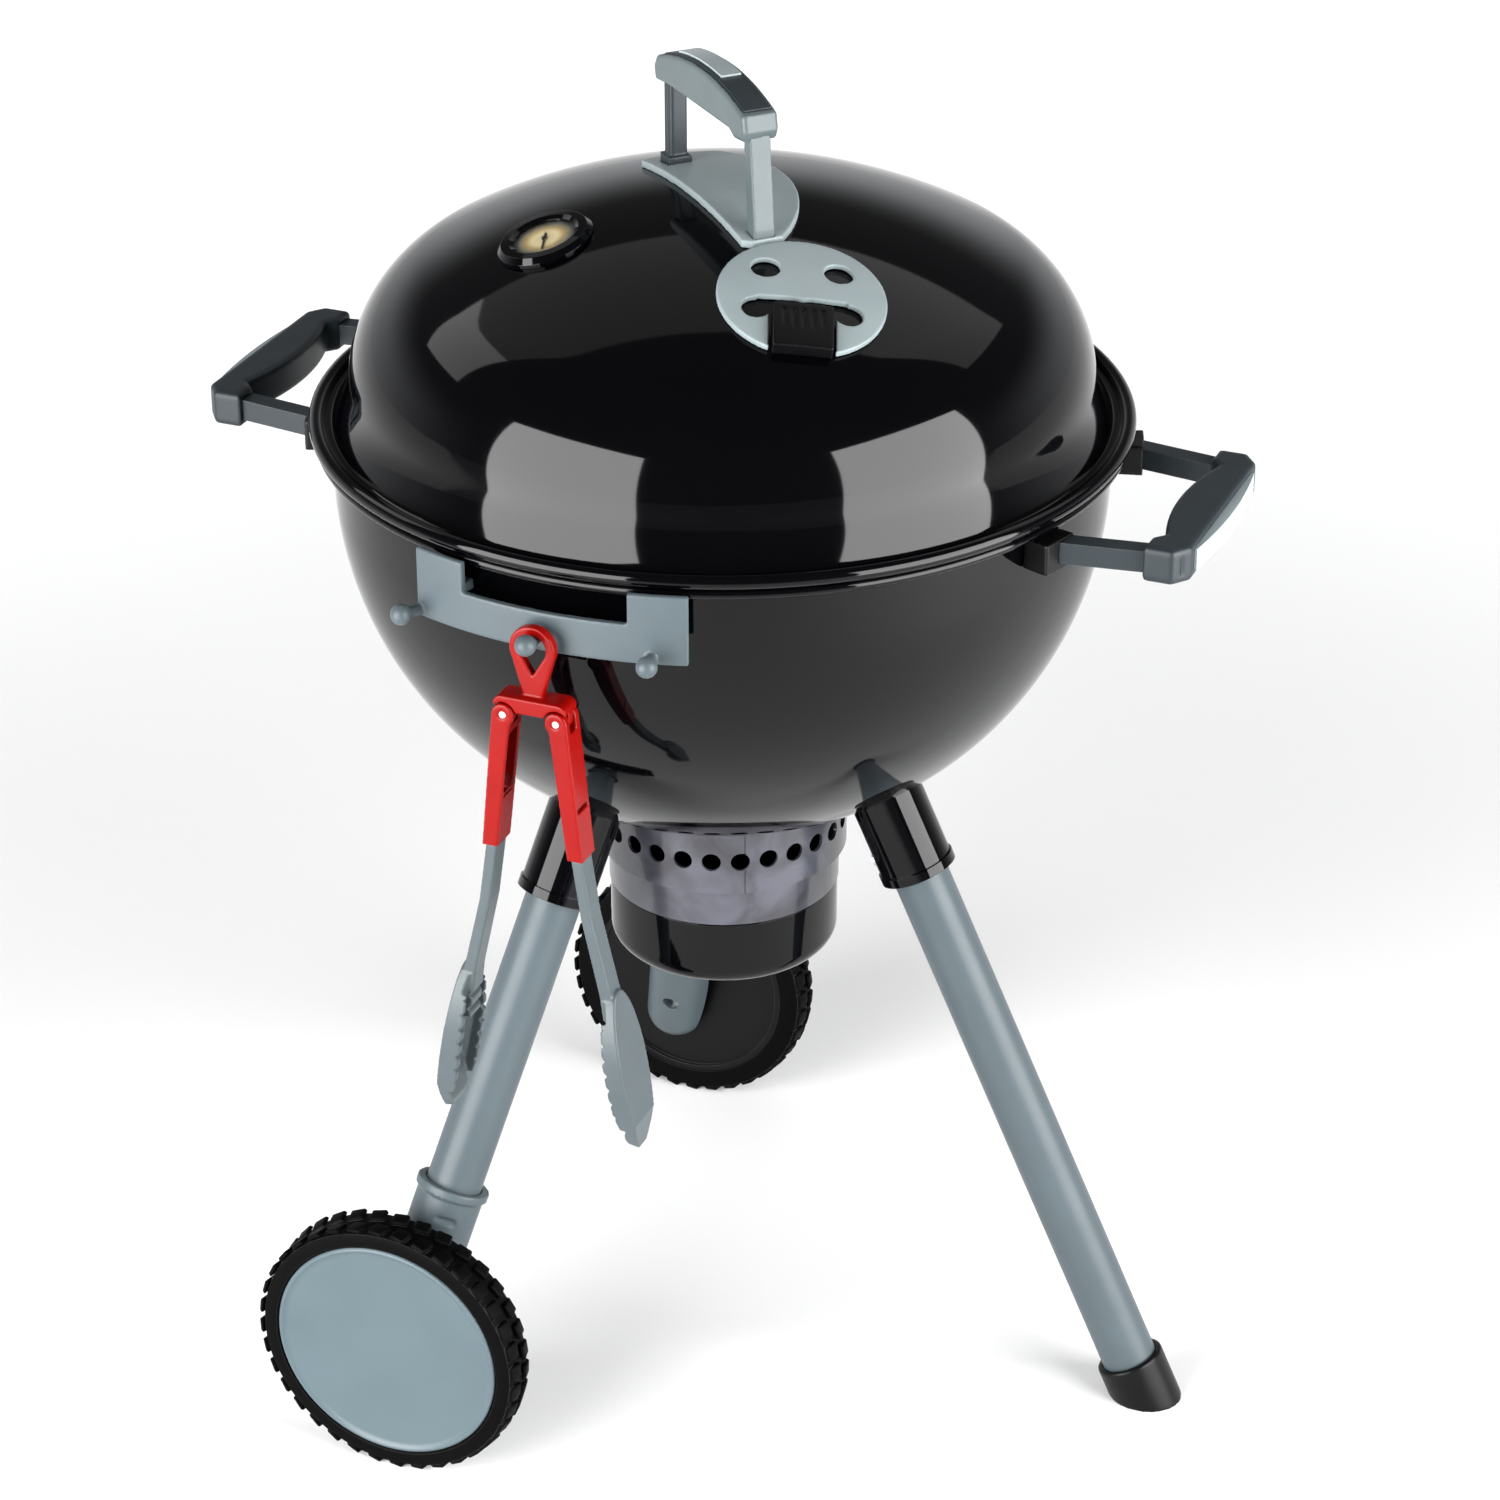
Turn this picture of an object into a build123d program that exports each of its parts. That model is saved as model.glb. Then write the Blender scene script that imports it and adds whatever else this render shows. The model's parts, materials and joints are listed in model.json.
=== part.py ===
from build123d import *
import math
import os

os.makedirs("parts", exist_ok=True)

# Toy kettle charcoal grill, in millimetres.
# The kettle's own axis is x = y = 0 while the pieces are made, the floor is z = 0,
# the tool holder faces -Y, the single foot stands at +X and the two wheels at -X.
# On saving, every piece moves back by set_back, so that the origin is on the floor
# below the middle of the whole.

# ---- driving dimensions ----
gap = 0.3                 # between pieces that move past each other
touch = 0.05              # between pieces that are fixed to each other

rim_radius = 182.4
seat_z = 470.2            # the bowl's rim carries the lid here

bowl_wall = 2.6
bowl_taper = 3.3          # degrees
bowl_skirt_z = 440.8      # the straight skirt starts here and goes up
bowl_skirt_r = 172.0
bowl_arc = 166.0
bowl_bottom_arc = 178.0
bowl_split_z = 392.0      # the bowl is kept as an upper and a lower part

lid_wall = 2.4
lid_taper = 4.93          # degrees
lid_skirt_z = 494.1       # the straight skirt ends here
lid_skirt_r = 164.3
shoulder_arc = 63.4
crown_arc = 278.6

leg_azimuths = {"right": 0.0, "rear": 120.0, "front": 240.0}
leg_foot_r = 216.0        # where a leg's axis meets the floor
leg_slope = 0.46          # how far a leg leans out for each mm down
tube_r = 13.0
tube_wall = 1.8
socket_r = 17.0
socket_low_z = 260.0
tube_top_z = 284.0

axle_x = -91.0
axle_z = 64.5
axle_r = 4.0
wheel_mid_y = 177.0
tyre_r = 64.5
tyre_half = 9.8
disc_r = 54.8
wheel_clear_y = wheel_mid_y - tyre_half - 3.4    # outboard face of a wheel bracket

handle_z = 459.0
handle_reach = 235.0
grip_half = 55.0

band_r = 57.0
band_step_r = 53.5
band_step_z = 258.8
band_low_z = 240.6
band_hole_z = 275.0
band_holes = 27
cup_low_z = 207.0

lid_handle_azimuth = -43.0
lid_handle_side = -6.5    # the lid handle stands this far off the kettle's axis
damper_azimuth = -47.0
damper_distance = 94.5
damper_r = 35.8
damper_turn = -20.0       # where the thumb tab points, from straight outwards
gauge_azimuth = -133.6
gauge_distance = 82.0

holder_r = 187.0          # front face of the tool holder
holder_azimuths = (-110.5, -71.8)
hook_x = -4.0             # the hook that carries the tongs
hook_z = 446.5
hook_stem_r = 2.5

tongs_y = -193.0          # middle plane of the tongs
tongs_front_y = tongs_y - 13.0
disc_edge = 0.2           # how far a wheel disc stands proud of its tyre
set_back = (-tongs_front_y - wheel_mid_y - tyre_half - disc_edge) / 2


# ---- small helpers ----
def polar(radius, degrees):
    return (radius * math.cos(math.radians(degrees)), radius * math.sin(math.radians(degrees)))


def along(centre, radius, degrees):
    """The point at an angle on a circle in the r-z plane, as a 3-D point."""
    x, z = polar(radius, degrees)
    return (centre[0] + x, 0, centre[1] + z)


def arc(centre, radius, start, end):
    return ThreePointArc(*[along(centre, radius, a) for a in (start, (start + end) / 2, end)])


def turned(points, azimuth=0.0, sweep=360.0):
    """A closed r-z outline turned about the kettle's axis."""
    outline = make_face(Polyline(*[(r, 0, z) for r, z in points], close=True))
    return revolve(Rot(0, 0, azimuth) * outline, Axis.Z, sweep)


def sector(inner, outer, low, high, azimuths=(0.0, 360.0)):
    points = [(inner, low), (outer, low), (outer, high), (inner, high)]
    return turned(points, azimuths[0], azimuths[1] - azimuths[0])


def rod(start, end, radius):
    """A round bar between two points."""
    a, b = Vector(*start), Vector(*end)
    return Plane(origin=a, z_dir=b - a) * Cylinder(radius, (b - a).length, align=BASE)


def block(x, y, z):
    """A box given by its low and high limits along each axis."""
    size = [high - low for low, high in (x, y, z)]
    return Pos(x[0], y[0], z[0]) * Box(*size, align=(Align.MIN, Align.MIN, Align.MIN))


def plate(points, low, high):
    """A closed x-y outline made solid between two heights."""
    face = make_face(Polyline(*[(x, y, low) for x, y in points], close=True))
    return extrude(face, high - low, dir=(0, 0, 1))


def upright(points, low, high):
    """A closed x-z outline made solid between two y values."""
    face = make_face(Polyline(*[(x, low, z) for x, z in points], close=True))
    return extrude(face, high - low, dir=(0, 1, 0))


def rounded(shape, edges, radius):
    return fillet(edges, radius) if edges else shape


def save(name, *pieces):
    solids = [Pos(0, set_back, 0) * solid for piece in pieces for solid in piece.solids()]
    export_step(solids[0] if len(solids) == 1 else Compound(solids), f"parts/{name}.step")


BASE = (Align.CENTER, Align.CENTER, Align.MIN)


# ---- the two shells' curves ----
bowl_centre = (bowl_skirt_r - bowl_arc * math.cos(math.radians(bowl_taper)),
               bowl_skirt_z + bowl_arc * math.sin(math.radians(bowl_taper)))
bowl_bottom_centre = (0.0, bowl_centre[1]
                      + math.sqrt((bowl_bottom_arc - bowl_arc) ** 2 - bowl_centre[0] ** 2))
bowl_join = math.degrees(math.atan2(bowl_centre[1] - bowl_bottom_centre[1], bowl_centre[0]))
lid_centre = (lid_skirt_r - shoulder_arc * math.cos(math.radians(lid_taper)),
              lid_skirt_z - shoulder_arc * math.sin(math.radians(lid_taper)))
crown_z = lid_centre[1] - math.sqrt((crown_arc - shoulder_arc) ** 2 - lid_centre[0] ** 2)
crown_centre = (0.0, crown_z)
lid_join = math.degrees(math.atan2(lid_centre[1] - crown_z, lid_centre[0]))


def bowl_edges(inset, top):
    """The bowl's outline from its rim down to the axis, inset from the outside."""
    foot = along(bowl_centre, bowl_arc - inset, -bowl_taper)
    head = (foot[0] + (top - foot[2]) * math.tan(math.radians(bowl_taper)), 0, top)
    return [Line(head, foot),
            arc(bowl_centre, bowl_arc - inset, -bowl_taper, bowl_join),
            arc(bowl_bottom_centre, bowl_bottom_arc - inset, bowl_join, -90.0)]


def lid_edges(inset, low):
    """The lid's outline from its rim up to the axis, inset from the outside."""
    head = along(lid_centre, shoulder_arc - inset, lid_taper)
    foot = (head[0] + (head[2] - low) * math.tan(math.radians(lid_taper)), 0, low)
    return [Line(foot, head),
            arc(lid_centre, shoulder_arc - inset, lid_taper, lid_join),
            arc(crown_centre, crown_arc - inset, lid_join, 90.0)]


def filled(edges, end_z):
    """The solid inside one outline, closed along the axis and across its open end."""
    start, last = edges[0] @ 0, edges[-1] @ 1
    rest = [Line(last, (0, 0, end_z)), Line((0, 0, end_z), start)]
    return revolve(make_face(edges + rest), Axis.Z, 360)


bowl_body = filled(bowl_edges(-touch, seat_z), seat_z)
crown_ball = Pos(0, 0, crown_z) * Sphere(crown_arc + touch)


def on_crown(distance, azimuth, turn=0.0):
    """A plane that lies on the lid's crown: z is its normal, x points outwards then turns."""
    lean = math.asin(distance / crown_arc)
    out = Vector(*polar(1, azimuth), 0)
    normal = out * math.sin(lean) + Vector(0, 0, math.cos(lean))
    down = out * math.cos(lean) - Vector(0, 0, math.sin(lean))
    x_dir = down.rotate(Axis((0, 0, 0), normal), turn)
    return Plane(origin=Vector(0, 0, crown_z) + normal * crown_arc, x_dir=x_dir, z_dir=normal)


# ---- bowl ----
def whole_bowl():
    bottom = Line((0, 0, bowl_bottom_centre[1] - bowl_bottom_arc),
                  (0, 0, bowl_bottom_centre[1] - bowl_bottom_arc + bowl_wall))
    outside, inside = bowl_edges(0, seat_z), bowl_edges(bowl_wall, seat_z)
    top = Line(outside[0] @ 0, inside[0] @ 0)
    shell = revolve(make_face(outside + inside + [bottom, top]), Axis.Z, 360)
    ash_slot = Pos(24, 0, 285) * Box(26, 12, 20)
    ash_slots = [Rot(0, 0, turn) * ash_slot for turn in (60, 180, 300)]
    return shell - ash_slots - screw_holes(1.9 + touch)


def bowl():
    return split(whole_bowl(), Plane(origin=(0, 0, bowl_split_z)), keep=Keep.TOP)


def bowl_base():
    return split(whole_bowl(), Plane(origin=(0, 0, bowl_split_z)), keep=Keep.BOTTOM)


def bowl_rim():
    """The rolled ring around the top of the bowl."""
    flange = turned([(172.0, 466.4), (178.4, 466.4), (178.4, seat_z), (172.0, seat_z)])
    bead = Pos(0, 0, seat_z - 2.5) * Torus(178.8, 2.4)
    return flange + bead - bowl_body


def grate_ledges():
    """Three small brackets inside the bowl that carry the cooking grate."""
    ledges = [sector(145.0, 172.0, 444.0, 447.6, (a - 4, a + 4)) for a in (30, 150, 270)]
    inside = filled(bowl_edges(bowl_wall + touch, seat_z), seat_z)
    return [ledge & inside for ledge in ledges]


def charcoal_grate():
    """A ring with parallel bars low in the bowl."""
    ring_r, bar_r, z = 127.0, 1.5, 348.0
    bars = []
    for step in range(-5, 6):
        y = step * 22.0
        half = math.sqrt((ring_r - 0.6) ** 2 - y ** 2)
        bars.append(rod((-half, y, z), (half, y, z), bar_r))
    return sector(ring_r - 2.0, ring_r + 2.0, z - 1.8, z + 1.8) + bars


def charcoal():
    """The moulded heap of charcoal on its grate."""
    low, high = 350.2, 374.0
    return turned([(0, low), (104, low), (108, low + 8), (96, high - 6), (60, high), (0, high)])


# ---- legs ----
def leg_plane(azimuth):
    """Origin where the leg's axis meets the floor, z up the leg, x outwards."""
    out = Vector(*polar(1, azimuth), 0)
    up = Vector(0, 0, 1) - out * leg_slope
    return Plane(origin=out * leg_foot_r, x_dir=out + Vector(0, 0, leg_slope), z_dir=up)


def up_leg(z):
    """The distance along a leg to the height z."""
    return z * math.sqrt(1 + leg_slope ** 2)


def leg_rod(azimuth, radius, low_z, high_z):
    length = up_leg(high_z) - up_leg(low_z)
    return leg_plane(azimuth) * (Pos(0, 0, up_leg(low_z)) * Cylinder(radius, length, align=BASE))


def leg_screw(azimuth):
    """A round-headed screw on the side of the socket that faces the kettle's axis."""
    z = up_leg(socket_low_z + 9)
    head = Pos(-socket_r - 0.9, 0, z) * Rot(0, -90, 0) * Cylinder(3.6, 1.8)
    length = socket_r - tube_r + tube_wall
    shank = Pos(-socket_r + length / 2, 0, z) * Rot(0, -90, 0) * Cylinder(1.9, length)
    return leg_plane(azimuth) * (head + shank)


def leg_socket(azimuth):
    boss = leg_rod(azimuth, socket_r, socket_low_z, 330.0)
    lip = leg_rod(azimuth, socket_r + 0.9, socket_low_z, socket_low_z + 4)
    bore = leg_rod(azimuth, tube_r + touch, socket_low_z - 5, tube_top_z + 1)
    return boss + lip - bore - bowl_body - leg_screw(azimuth)


def leg_tube(azimuth, low_z):
    outside = leg_rod(azimuth, tube_r, low_z, tube_top_z)
    inside = leg_rod(azimuth, tube_r - tube_wall, low_z - 5, tube_top_z + 5)
    return outside - inside - leg_screw(azimuth)


foot_tube_z = 12.0
foot_cap_z = 19.0


def foot_cap():
    cap = leg_rod(0, 16.0, -12.0, foot_cap_z)
    cap = rounded(cap, cap.edges().group_by(Axis.Z)[-1], 1.2)
    bore = leg_rod(0, tube_r + touch, foot_tube_z, foot_cap_z + 9)
    floor = block((150, 280), (-60, 60), (-60, 0))
    return cap - bore - floor


# ---- wheels ----
bracket_top_z = 129.0
bracket_end_z = 50.0
wheel_tube_z = 108.0


def bracket(azimuth, side):
    """The sleeve on a wheel leg: round above, cut flat beside the wheel, round at its end."""
    sleeve_r = 15.5
    shape = leg_rod(azimuth, sleeve_r, bracket_end_z, bracket_top_z)
    end = Vector(*polar(leg_foot_r - leg_slope * bracket_end_z, azimuth), bracket_end_z)
    shape += Pos(*end) * Sphere(sleeve_r)
    shape += leg_rod(azimuth, sleeve_r + 1.6, bracket_top_z - 4, bracket_top_z)
    shape -= leg_rod(azimuth, tube_r + touch, wheel_tube_z - 1, bracket_top_z + 5)
    beyond = sorted((side * wheel_clear_y, side * 260))
    shape -= block((-200, 0), tuple(beyond), (0, 200))
    slot = Pos(sleeve_r, 0, up_leg(116.0)) * Box(3.0, 10.0, 3.0)
    shape -= leg_plane(azimuth) * (Rot(0, 0, side * -55) * slot)
    return shape - rod((axle_x, side * 140, axle_z), (axle_x, side * 170, axle_z), axle_r + touch)


def axle(side):
    """A stub axle: a pin with a collar that keeps the wheel off its bracket."""
    inner, outer = wheel_clear_y - 12, wheel_mid_y + 5.6
    pin = rod((axle_x, side * inner, axle_z), (axle_x, side * outer, axle_z), axle_r)
    collar_y = (side * (wheel_clear_y + touch), side * (wheel_clear_y + 1.8))
    return pin + rod((axle_x, collar_y[0], axle_z), (axle_x, collar_y[1], axle_z), 8.0)


def wheel_ring(side, points):
    """A closed outline of (radius, distance outboard of the wheel's middle) turned."""
    ring = make_face(Polyline(*[(axle_x + r, side * (wheel_mid_y + y), axle_z)
                                for r, y in points], close=True))
    return revolve(ring, Axis((axle_x, 0, axle_z), (0, 1, 0)), 360)


def tyre(side):
    h, lugs, groove = tyre_half, 30, 4.2
    ring = wheel_ring(side, [(52.5, -h), (61.5, -h), (tyre_r, -h + 2.6), (tyre_r, h - 2.6),
                             (61.5, h), (disc_r + touch, h), (disc_r + touch, h - 3.4),
                             (52.5, h - 3.4)])
    cuts = []
    for row, half_pitch in ((-1, 0.0), (1, 0.5)):
        for n in range(lugs):
            turn = (n + 0.5 + half_pitch) * 360 / lugs
            cut = Pos(0, row * (h - 2.2), -tyre_r) * Box(groove, 7.6, 5.6)
            cuts.append(Pos(axle_x, side * wheel_mid_y, axle_z) * Rot(0, turn, 0) * cut)
    return ring - cuts


def wheel_core(side):
    """The dark moulded wheel: hub, inner web and the ring that carries the tyre."""
    h = tyre_half
    hub_r, bore = 11.0, axle_r + 0.06
    return wheel_ring(side, [(bore, -h + 0.9), (hub_r, -h + 0.9), (hub_r, -h + 2.5),
                             (49.5, -h + 2.5), (49.5, -h + 0.6), (52.5 - touch, -h + 0.6),
                             (52.5 - touch, h - 3.5), (50.0, h - 3.5), (50.0, -h + 5.0),
                             (hub_r, -h + 5.0), (hub_r, h - 3.5), (bore, h - 3.5)])


def wheel_disc(side):
    """The pale face disc with its slightly raised edge."""
    h = tyre_half
    return wheel_ring(side, [(0, h - 3.4), (disc_r, h - 3.4), (disc_r, h - 0.3),
                             (disc_r - 1.0, h + disc_edge), (disc_r - 3.0, h + disc_edge),
                             (disc_r - 4.6, h - 1.0), (0, h - 1.0)])


# ---- side handles ----
arm_root_y = 54.0
arm_grip_y = 46.5
arm_half = 4.6
arm_low, arm_high = handle_z - 4.8, handle_z + 4.8


def handle_frame():
    """Two arms and the bar between them that carries the grip, on the +X side."""
    arms = []
    for side in (-1, 1):
        outline = [(150.0, side * (arm_root_y + 3) - arm_half), (222.0, side * arm_grip_y - arm_half),
                   (222.0, side * arm_grip_y + arm_half), (150.0, side * (arm_root_y + 3) + arm_half)]
        arms.append(plate(outline, arm_low, arm_high))
    bar = block((219.0, 228.0), (-arm_grip_y - arm_half, arm_grip_y + arm_half), (arm_low, arm_high))
    return bar + arms - bowl_body


def grip_body():
    low, high, reach = handle_z - 8.0, handle_z + 8.0, handle_reach - 4.0
    half = grip_half
    inner = [Line((212, -half, low), (212, -half + 12, low)),
             Line((212, -half + 12, low), (216.5, -half + 17, low)),
             ThreePointArc((216.5, -half + 17, low), (210.5, 0, low), (216.5, half - 17, low)),
             Line((216.5, half - 17, low), (212, half - 12, low)),
             Line((212, half - 12, low), (212, half, low))]
    outer = [Line((212, half, low), (reach - 6, half, low)),
             Line((reach - 6, half, low), (reach, half - 8, low)),
             Line((reach, half - 8, low), (reach, -half + 8, low)),
             Line((reach, -half + 8, low), (reach - 6, -half, low)),
             Line((reach - 6, -half, low), (212, -half, low))]
    body = extrude(make_face(inner + outer), high - low, dir=(0, 0, 1))
    edges = body.edges().group_by(Axis.Z)[0] + body.edges().group_by(Axis.Z)[-1]
    return rounded(body, edges, 2.2)


def grip_plate():
    """The pale blank plate on a grip's outer face."""
    x, half = handle_reach - 4.0, 42.0
    low, high = handle_z - 5.0, handle_z + 5.0
    edges = [Line((x - 1, -half, low), (x - 1, half, low)), Line((x - 1, half, low), (x + 0.8, half, low)),
             ThreePointArc((x + 0.8, half, low), (handle_reach, 0, low), (x + 0.8, -half, low)),
             Line((x + 0.8, -half, low), (x - 1, -half, low))]
    return extrude(make_face(edges), high - low, dir=(0, 0, 1))


def handle_root(side):
    """The dark socket that holds one arm against the bowl, below the rim."""
    azimuth = side * math.degrees(math.asin(arm_root_y / 176))
    half = 2.9
    return sector(168.0, 186.0, arm_low - 3.2, arm_high + 1.2, (azimuth - half, azimuth + half)) - bowl_body


def handle_screws():
    """Four screws from inside the bowl into the handle sockets."""
    azimuth = math.degrees(math.asin(arm_root_y / 176))
    screws = []
    for turn in (azimuth, -azimuth, 180 - azimuth, 180 + azimuth):
        seat, tip, end = [(*polar(r, turn), handle_z) for r in (170.2, 183.0, 167.6)]
        screws.append(rod(end, seat, 3.8) + rod(seat, tip, 1.9))
    return screws


def screw_holes(radius):
    azimuth = math.degrees(math.asin(arm_root_y / 176))
    turns = (azimuth, -azimuth, 180 - azimuth, 180 + azimuth)
    return [rod((*polar(165, a), handle_z), (*polar(184, a), handle_z), radius) for a in turns]


# ---- tool holder ----
holder_back_r = holder_r - 3.0
holder_bar = (439.0, 456.5)
holder_tab_low = 450.0
holder_tab = 7.8                      # degrees that a tab covers
hook_azimuths = (-110.0, -76.5)


def hook(azimuth):
    """A knob on a short stem that points outwards."""
    stem_end = holder_r + 11.0
    stem = rod((holder_r - 1.5, 0, hook_z - 4.5), (stem_end, 0, hook_z - 3.5), hook_stem_r)
    knob = Pos(stem_end, 0, hook_z - 3.0) * Sphere(4.6)
    return Rot(0, 0, azimuth) * (stem + knob)


def tongs_hook():
    stem = rod((hook_x, -holder_r + 1.5, hook_z), (hook_x, -holder_r - 12.0, hook_z), hook_stem_r)
    knob = Pos(hook_x, -holder_r - 13.6, hook_z + 1.2) * Sphere(4.6)
    return stem + knob


def tool_holder():
    """A curved bar with two tabs, held under the rim by two feet, with three hooks."""
    start, end = holder_azimuths
    shape = sector(holder_back_r, holder_r, *holder_bar, holder_azimuths)
    for low, high in ((start, start + holder_tab), (end - holder_tab, end)):
        shape += sector(holder_back_r, holder_r, holder_tab_low - 6, seat_z, (low, high))
        shape += sector(171.0, holder_back_r + 0.5, 452.0, 456.5, (low + 1.5, high - 1.5))
    edge = [e for e in shape.edges() if e.length > 100]
    shape = rounded(shape, edge, 0.8)
    shape = shape + [hook(a) for a in hook_azimuths] + tongs_hook()
    return shape - bowl_body


# ---- vent band and ash cup ----
def vent_band():
    """The grey sleeve below the bowl, with a row of round holes and a seam."""
    wall = 1.5
    shape = turned([(band_r - wall, band_step_z + wall), (band_step_r - wall, band_step_z + wall),
                    (band_step_r - wall, band_low_z), (band_step_r, band_low_z),
                    (band_step_r, band_step_z), (band_r, band_step_z), (band_r, 300.0),
                    (band_r - wall, 300.0)]) - bowl_body
    hole = rod((band_r - 8, 0, band_hole_z), (band_r + 4, 0, band_hole_z), 4.4)
    holes = [Rot(0, 0, (n + 0.5) * 360 / band_holes) * hole for n in range(band_holes)]
    seam = Rot(0, 0, -58.0) * Pos(band_r, 0, 270.0) * Box(1.2, 0.9, 60.0)
    return shape - holes - seam


def ash_cup():
    """The glossy cup that twists off below the band."""
    outer, wall, low = band_step_r - 0.6, 1.8, cup_low_z
    lip_r = band_step_r - 1.5 - 0.4
    outline = [Line((0, 0, low), (outer - 9, 0, low)),
               arc((outer - 9, low + 9), 9.0, -90.0, 0.0),
               Line((outer, 0, low + 9), (outer, 0, band_low_z - gap)),
               Line((outer, 0, band_low_z - gap), (lip_r, 0, band_low_z - gap)),
               Line((lip_r, 0, band_low_z - gap), (lip_r, 0, band_low_z + 5)),
               Line((lip_r, 0, band_low_z + 5), (lip_r - wall, 0, band_low_z + 5)),
               Line((lip_r - wall, 0, band_low_z + 5), (lip_r - wall, 0, low + 9)),
               arc((lip_r - wall - 7, low + 9), 7.0, 0.0, -90.0),
               Line((lip_r - wall - 7, 0, low + 2), (0, 0, low + 2)),
               Line((0, 0, low + 2), (0, 0, low))]
    return revolve(make_face(outline), Axis.Z, 360)


# ---- cooking grate ----
def cooking_grate():
    """Parallel bars in a ring, with two cross bars under them."""
    ring_r, bar_r, z = 151.0, 1.5, 450.0
    bars = []
    for step in range(-8, 9):
        x = step * 17.5
        half = math.sqrt((ring_r - 0.6) ** 2 - x ** 2)
        bars.append(rod((x, -half, z), (x, half, z), bar_r))
    for side in (-1, 1):
        half = math.sqrt((ring_r - 0.6) ** 2 - 60.0 ** 2)
        bars.append(rod((-half, side * 60.0, z - 1.2), (half, side * 60.0, z - 1.2), bar_r))
    return sector(ring_r - 2.0, ring_r + 2.0, z - 2.0, z + 2.0) + bars


# ---- lid ----
def damper_plane():
    return on_crown(damper_distance, damper_azimuth, damper_turn)


def damper_hole_tools(radius, low, high):
    """Four round tools through the damper: two beside the thumb tab and two behind it."""
    tools = []
    for angle in (62.0, -62.0, 135.0, -135.0):
        x, y = polar(21.7, angle)
        tools.append(damper_plane() * (Pos(x, y, low) * Cylinder(radius, high - low, align=BASE)))
    return tools


def lid_shell():
    outside, inside = lid_edges(0, 472.0), lid_edges(lid_wall, 463.5)
    lip_r = (inside[0] @ 0).X + lid_wall
    rest = [Line(outside[-1] @ 1, inside[-1] @ 1),
            Line(inside[0] @ 0, (lip_r, 0, 463.5)), Line((lip_r, 0, 463.5), outside[0] @ 0)]
    shape = revolve(make_face(outside + inside + rest), Axis.Z, 360)
    shape -= damper_hole_tools(5.6, -8, 4)
    shape -= damper_plane() * (Pos(0, 0, -8) * Cylinder(4.0 + gap, 14, align=BASE))
    return shape - lid_handle_bores(2.0 + touch)


def lid_rim():
    """The rolled ring around the lid's skirt, which sits on the bowl's rim."""
    low = seat_z + gap
    flange = turned([(164.0, low), (179.6, low), (179.6, low + 2.4), (177.4, low + 2.4),
                     (176.4, low + 3.4), (171.6, low + 3.4), (170.6, low + 2.0), (164.0, low + 2.0)])
    bead = Pos(0, 0, low + 2.6) * Torus(rim_radius - 2.6, 2.6)
    return flange + bead - filled(lid_edges(-touch, 463.5), 463.5)


def handle_plane():
    """x runs from the rear post to the front post, z is up."""
    side = Vector(*polar(lid_handle_side, lid_handle_azimuth + 90), 0)
    return Plane(origin=side, x_dir=(*polar(1, lid_handle_azimuth), 0), z_dir=(0, 0, 1))


rear_post_x = -34.0
front_post_x = 49.6       # at its top
front_post_foot = (49.9, 57.5)
post_screw_x = (rear_post_x, 53.4)
grip_low_z = 617.0
grip_arc_centre = (9.0, 505.3)
grip_arc = 130.0
grip_half_width = 8.2


def lid_handle_bores(radius):
    return [handle_plane() * rod((x, 0, 560), (x, 0, 590), radius) for x in post_screw_x]


def lid_handle_screws():
    """Two screws from inside the lid, up into the posts."""
    screws = []
    for x in post_screw_x:
        under = crown_z + math.sqrt((crown_arc - lid_wall) ** 2 - x ** 2 - lid_handle_side ** 2)
        screws.append(rod((x, 0, under - 3.2), (x, 0, under - 0.9), 4.0)
                      + rod((x, 0, under - 0.9), (x, 0, 589), 2.0))
    return [handle_plane() * screw for screw in screws]


def rear_post_body():
    post = block((rear_post_x - 3.8, rear_post_x + 3.8), (-4.2, 4.2), (560, grip_low_z + 4))
    foot = block((rear_post_x - 5.0, rear_post_x + 5.0), (-5.4, 5.4), (560, 582.0))
    return handle_plane() * (rounded(post, post.edges().filter_by(Axis.Z), 1.6) + foot)


def front_post_body():
    back, front = front_post_foot
    strap = upright([(front_post_x - 3, grip_low_z + 3), (front_post_x + 3, grip_low_z + 3),
                     (front, 578.0), (front, 560.0), (back, 560.0), (back, 578.0)], -4.8, 4.8)
    return handle_plane() * strap


def lid_post(body):
    """A post cut to the crown it stands on, with the bore for its screw."""
    return body - crown_ball - lid_handle_bores(2.0 + touch)


def grip_prism(inner, outer, half, start, end):
    """Part of the grip's arched top: between two radii and two x limits."""
    centre = grip_arc_centre
    angles = [math.degrees(math.acos((x - centre[0]) / outer)) for x in (start, end)]
    edges = [arc(centre, outer, *angles), arc(centre, inner, *reversed(angles))]
    edges.insert(1, Line(edges[0] @ 1, edges[1] @ 0))
    edges.append(Line(edges[2] @ 1, edges[0] @ 0))
    return extrude(Pos(0, -half, 0) * make_face(edges), 2 * half, dir=(0, 1, 0))


def lid_grip_inlay():
    return handle_plane() * grip_prism(grip_arc - 2.4, grip_arc + 0.5, 6.4, -31.0, 50.5)


def lid_grip_plate():
    return handle_plane() * grip_prism(grip_arc + 0.5 + touch, grip_arc + 1.5, 4.6, -20.0, 24.0)


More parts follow.
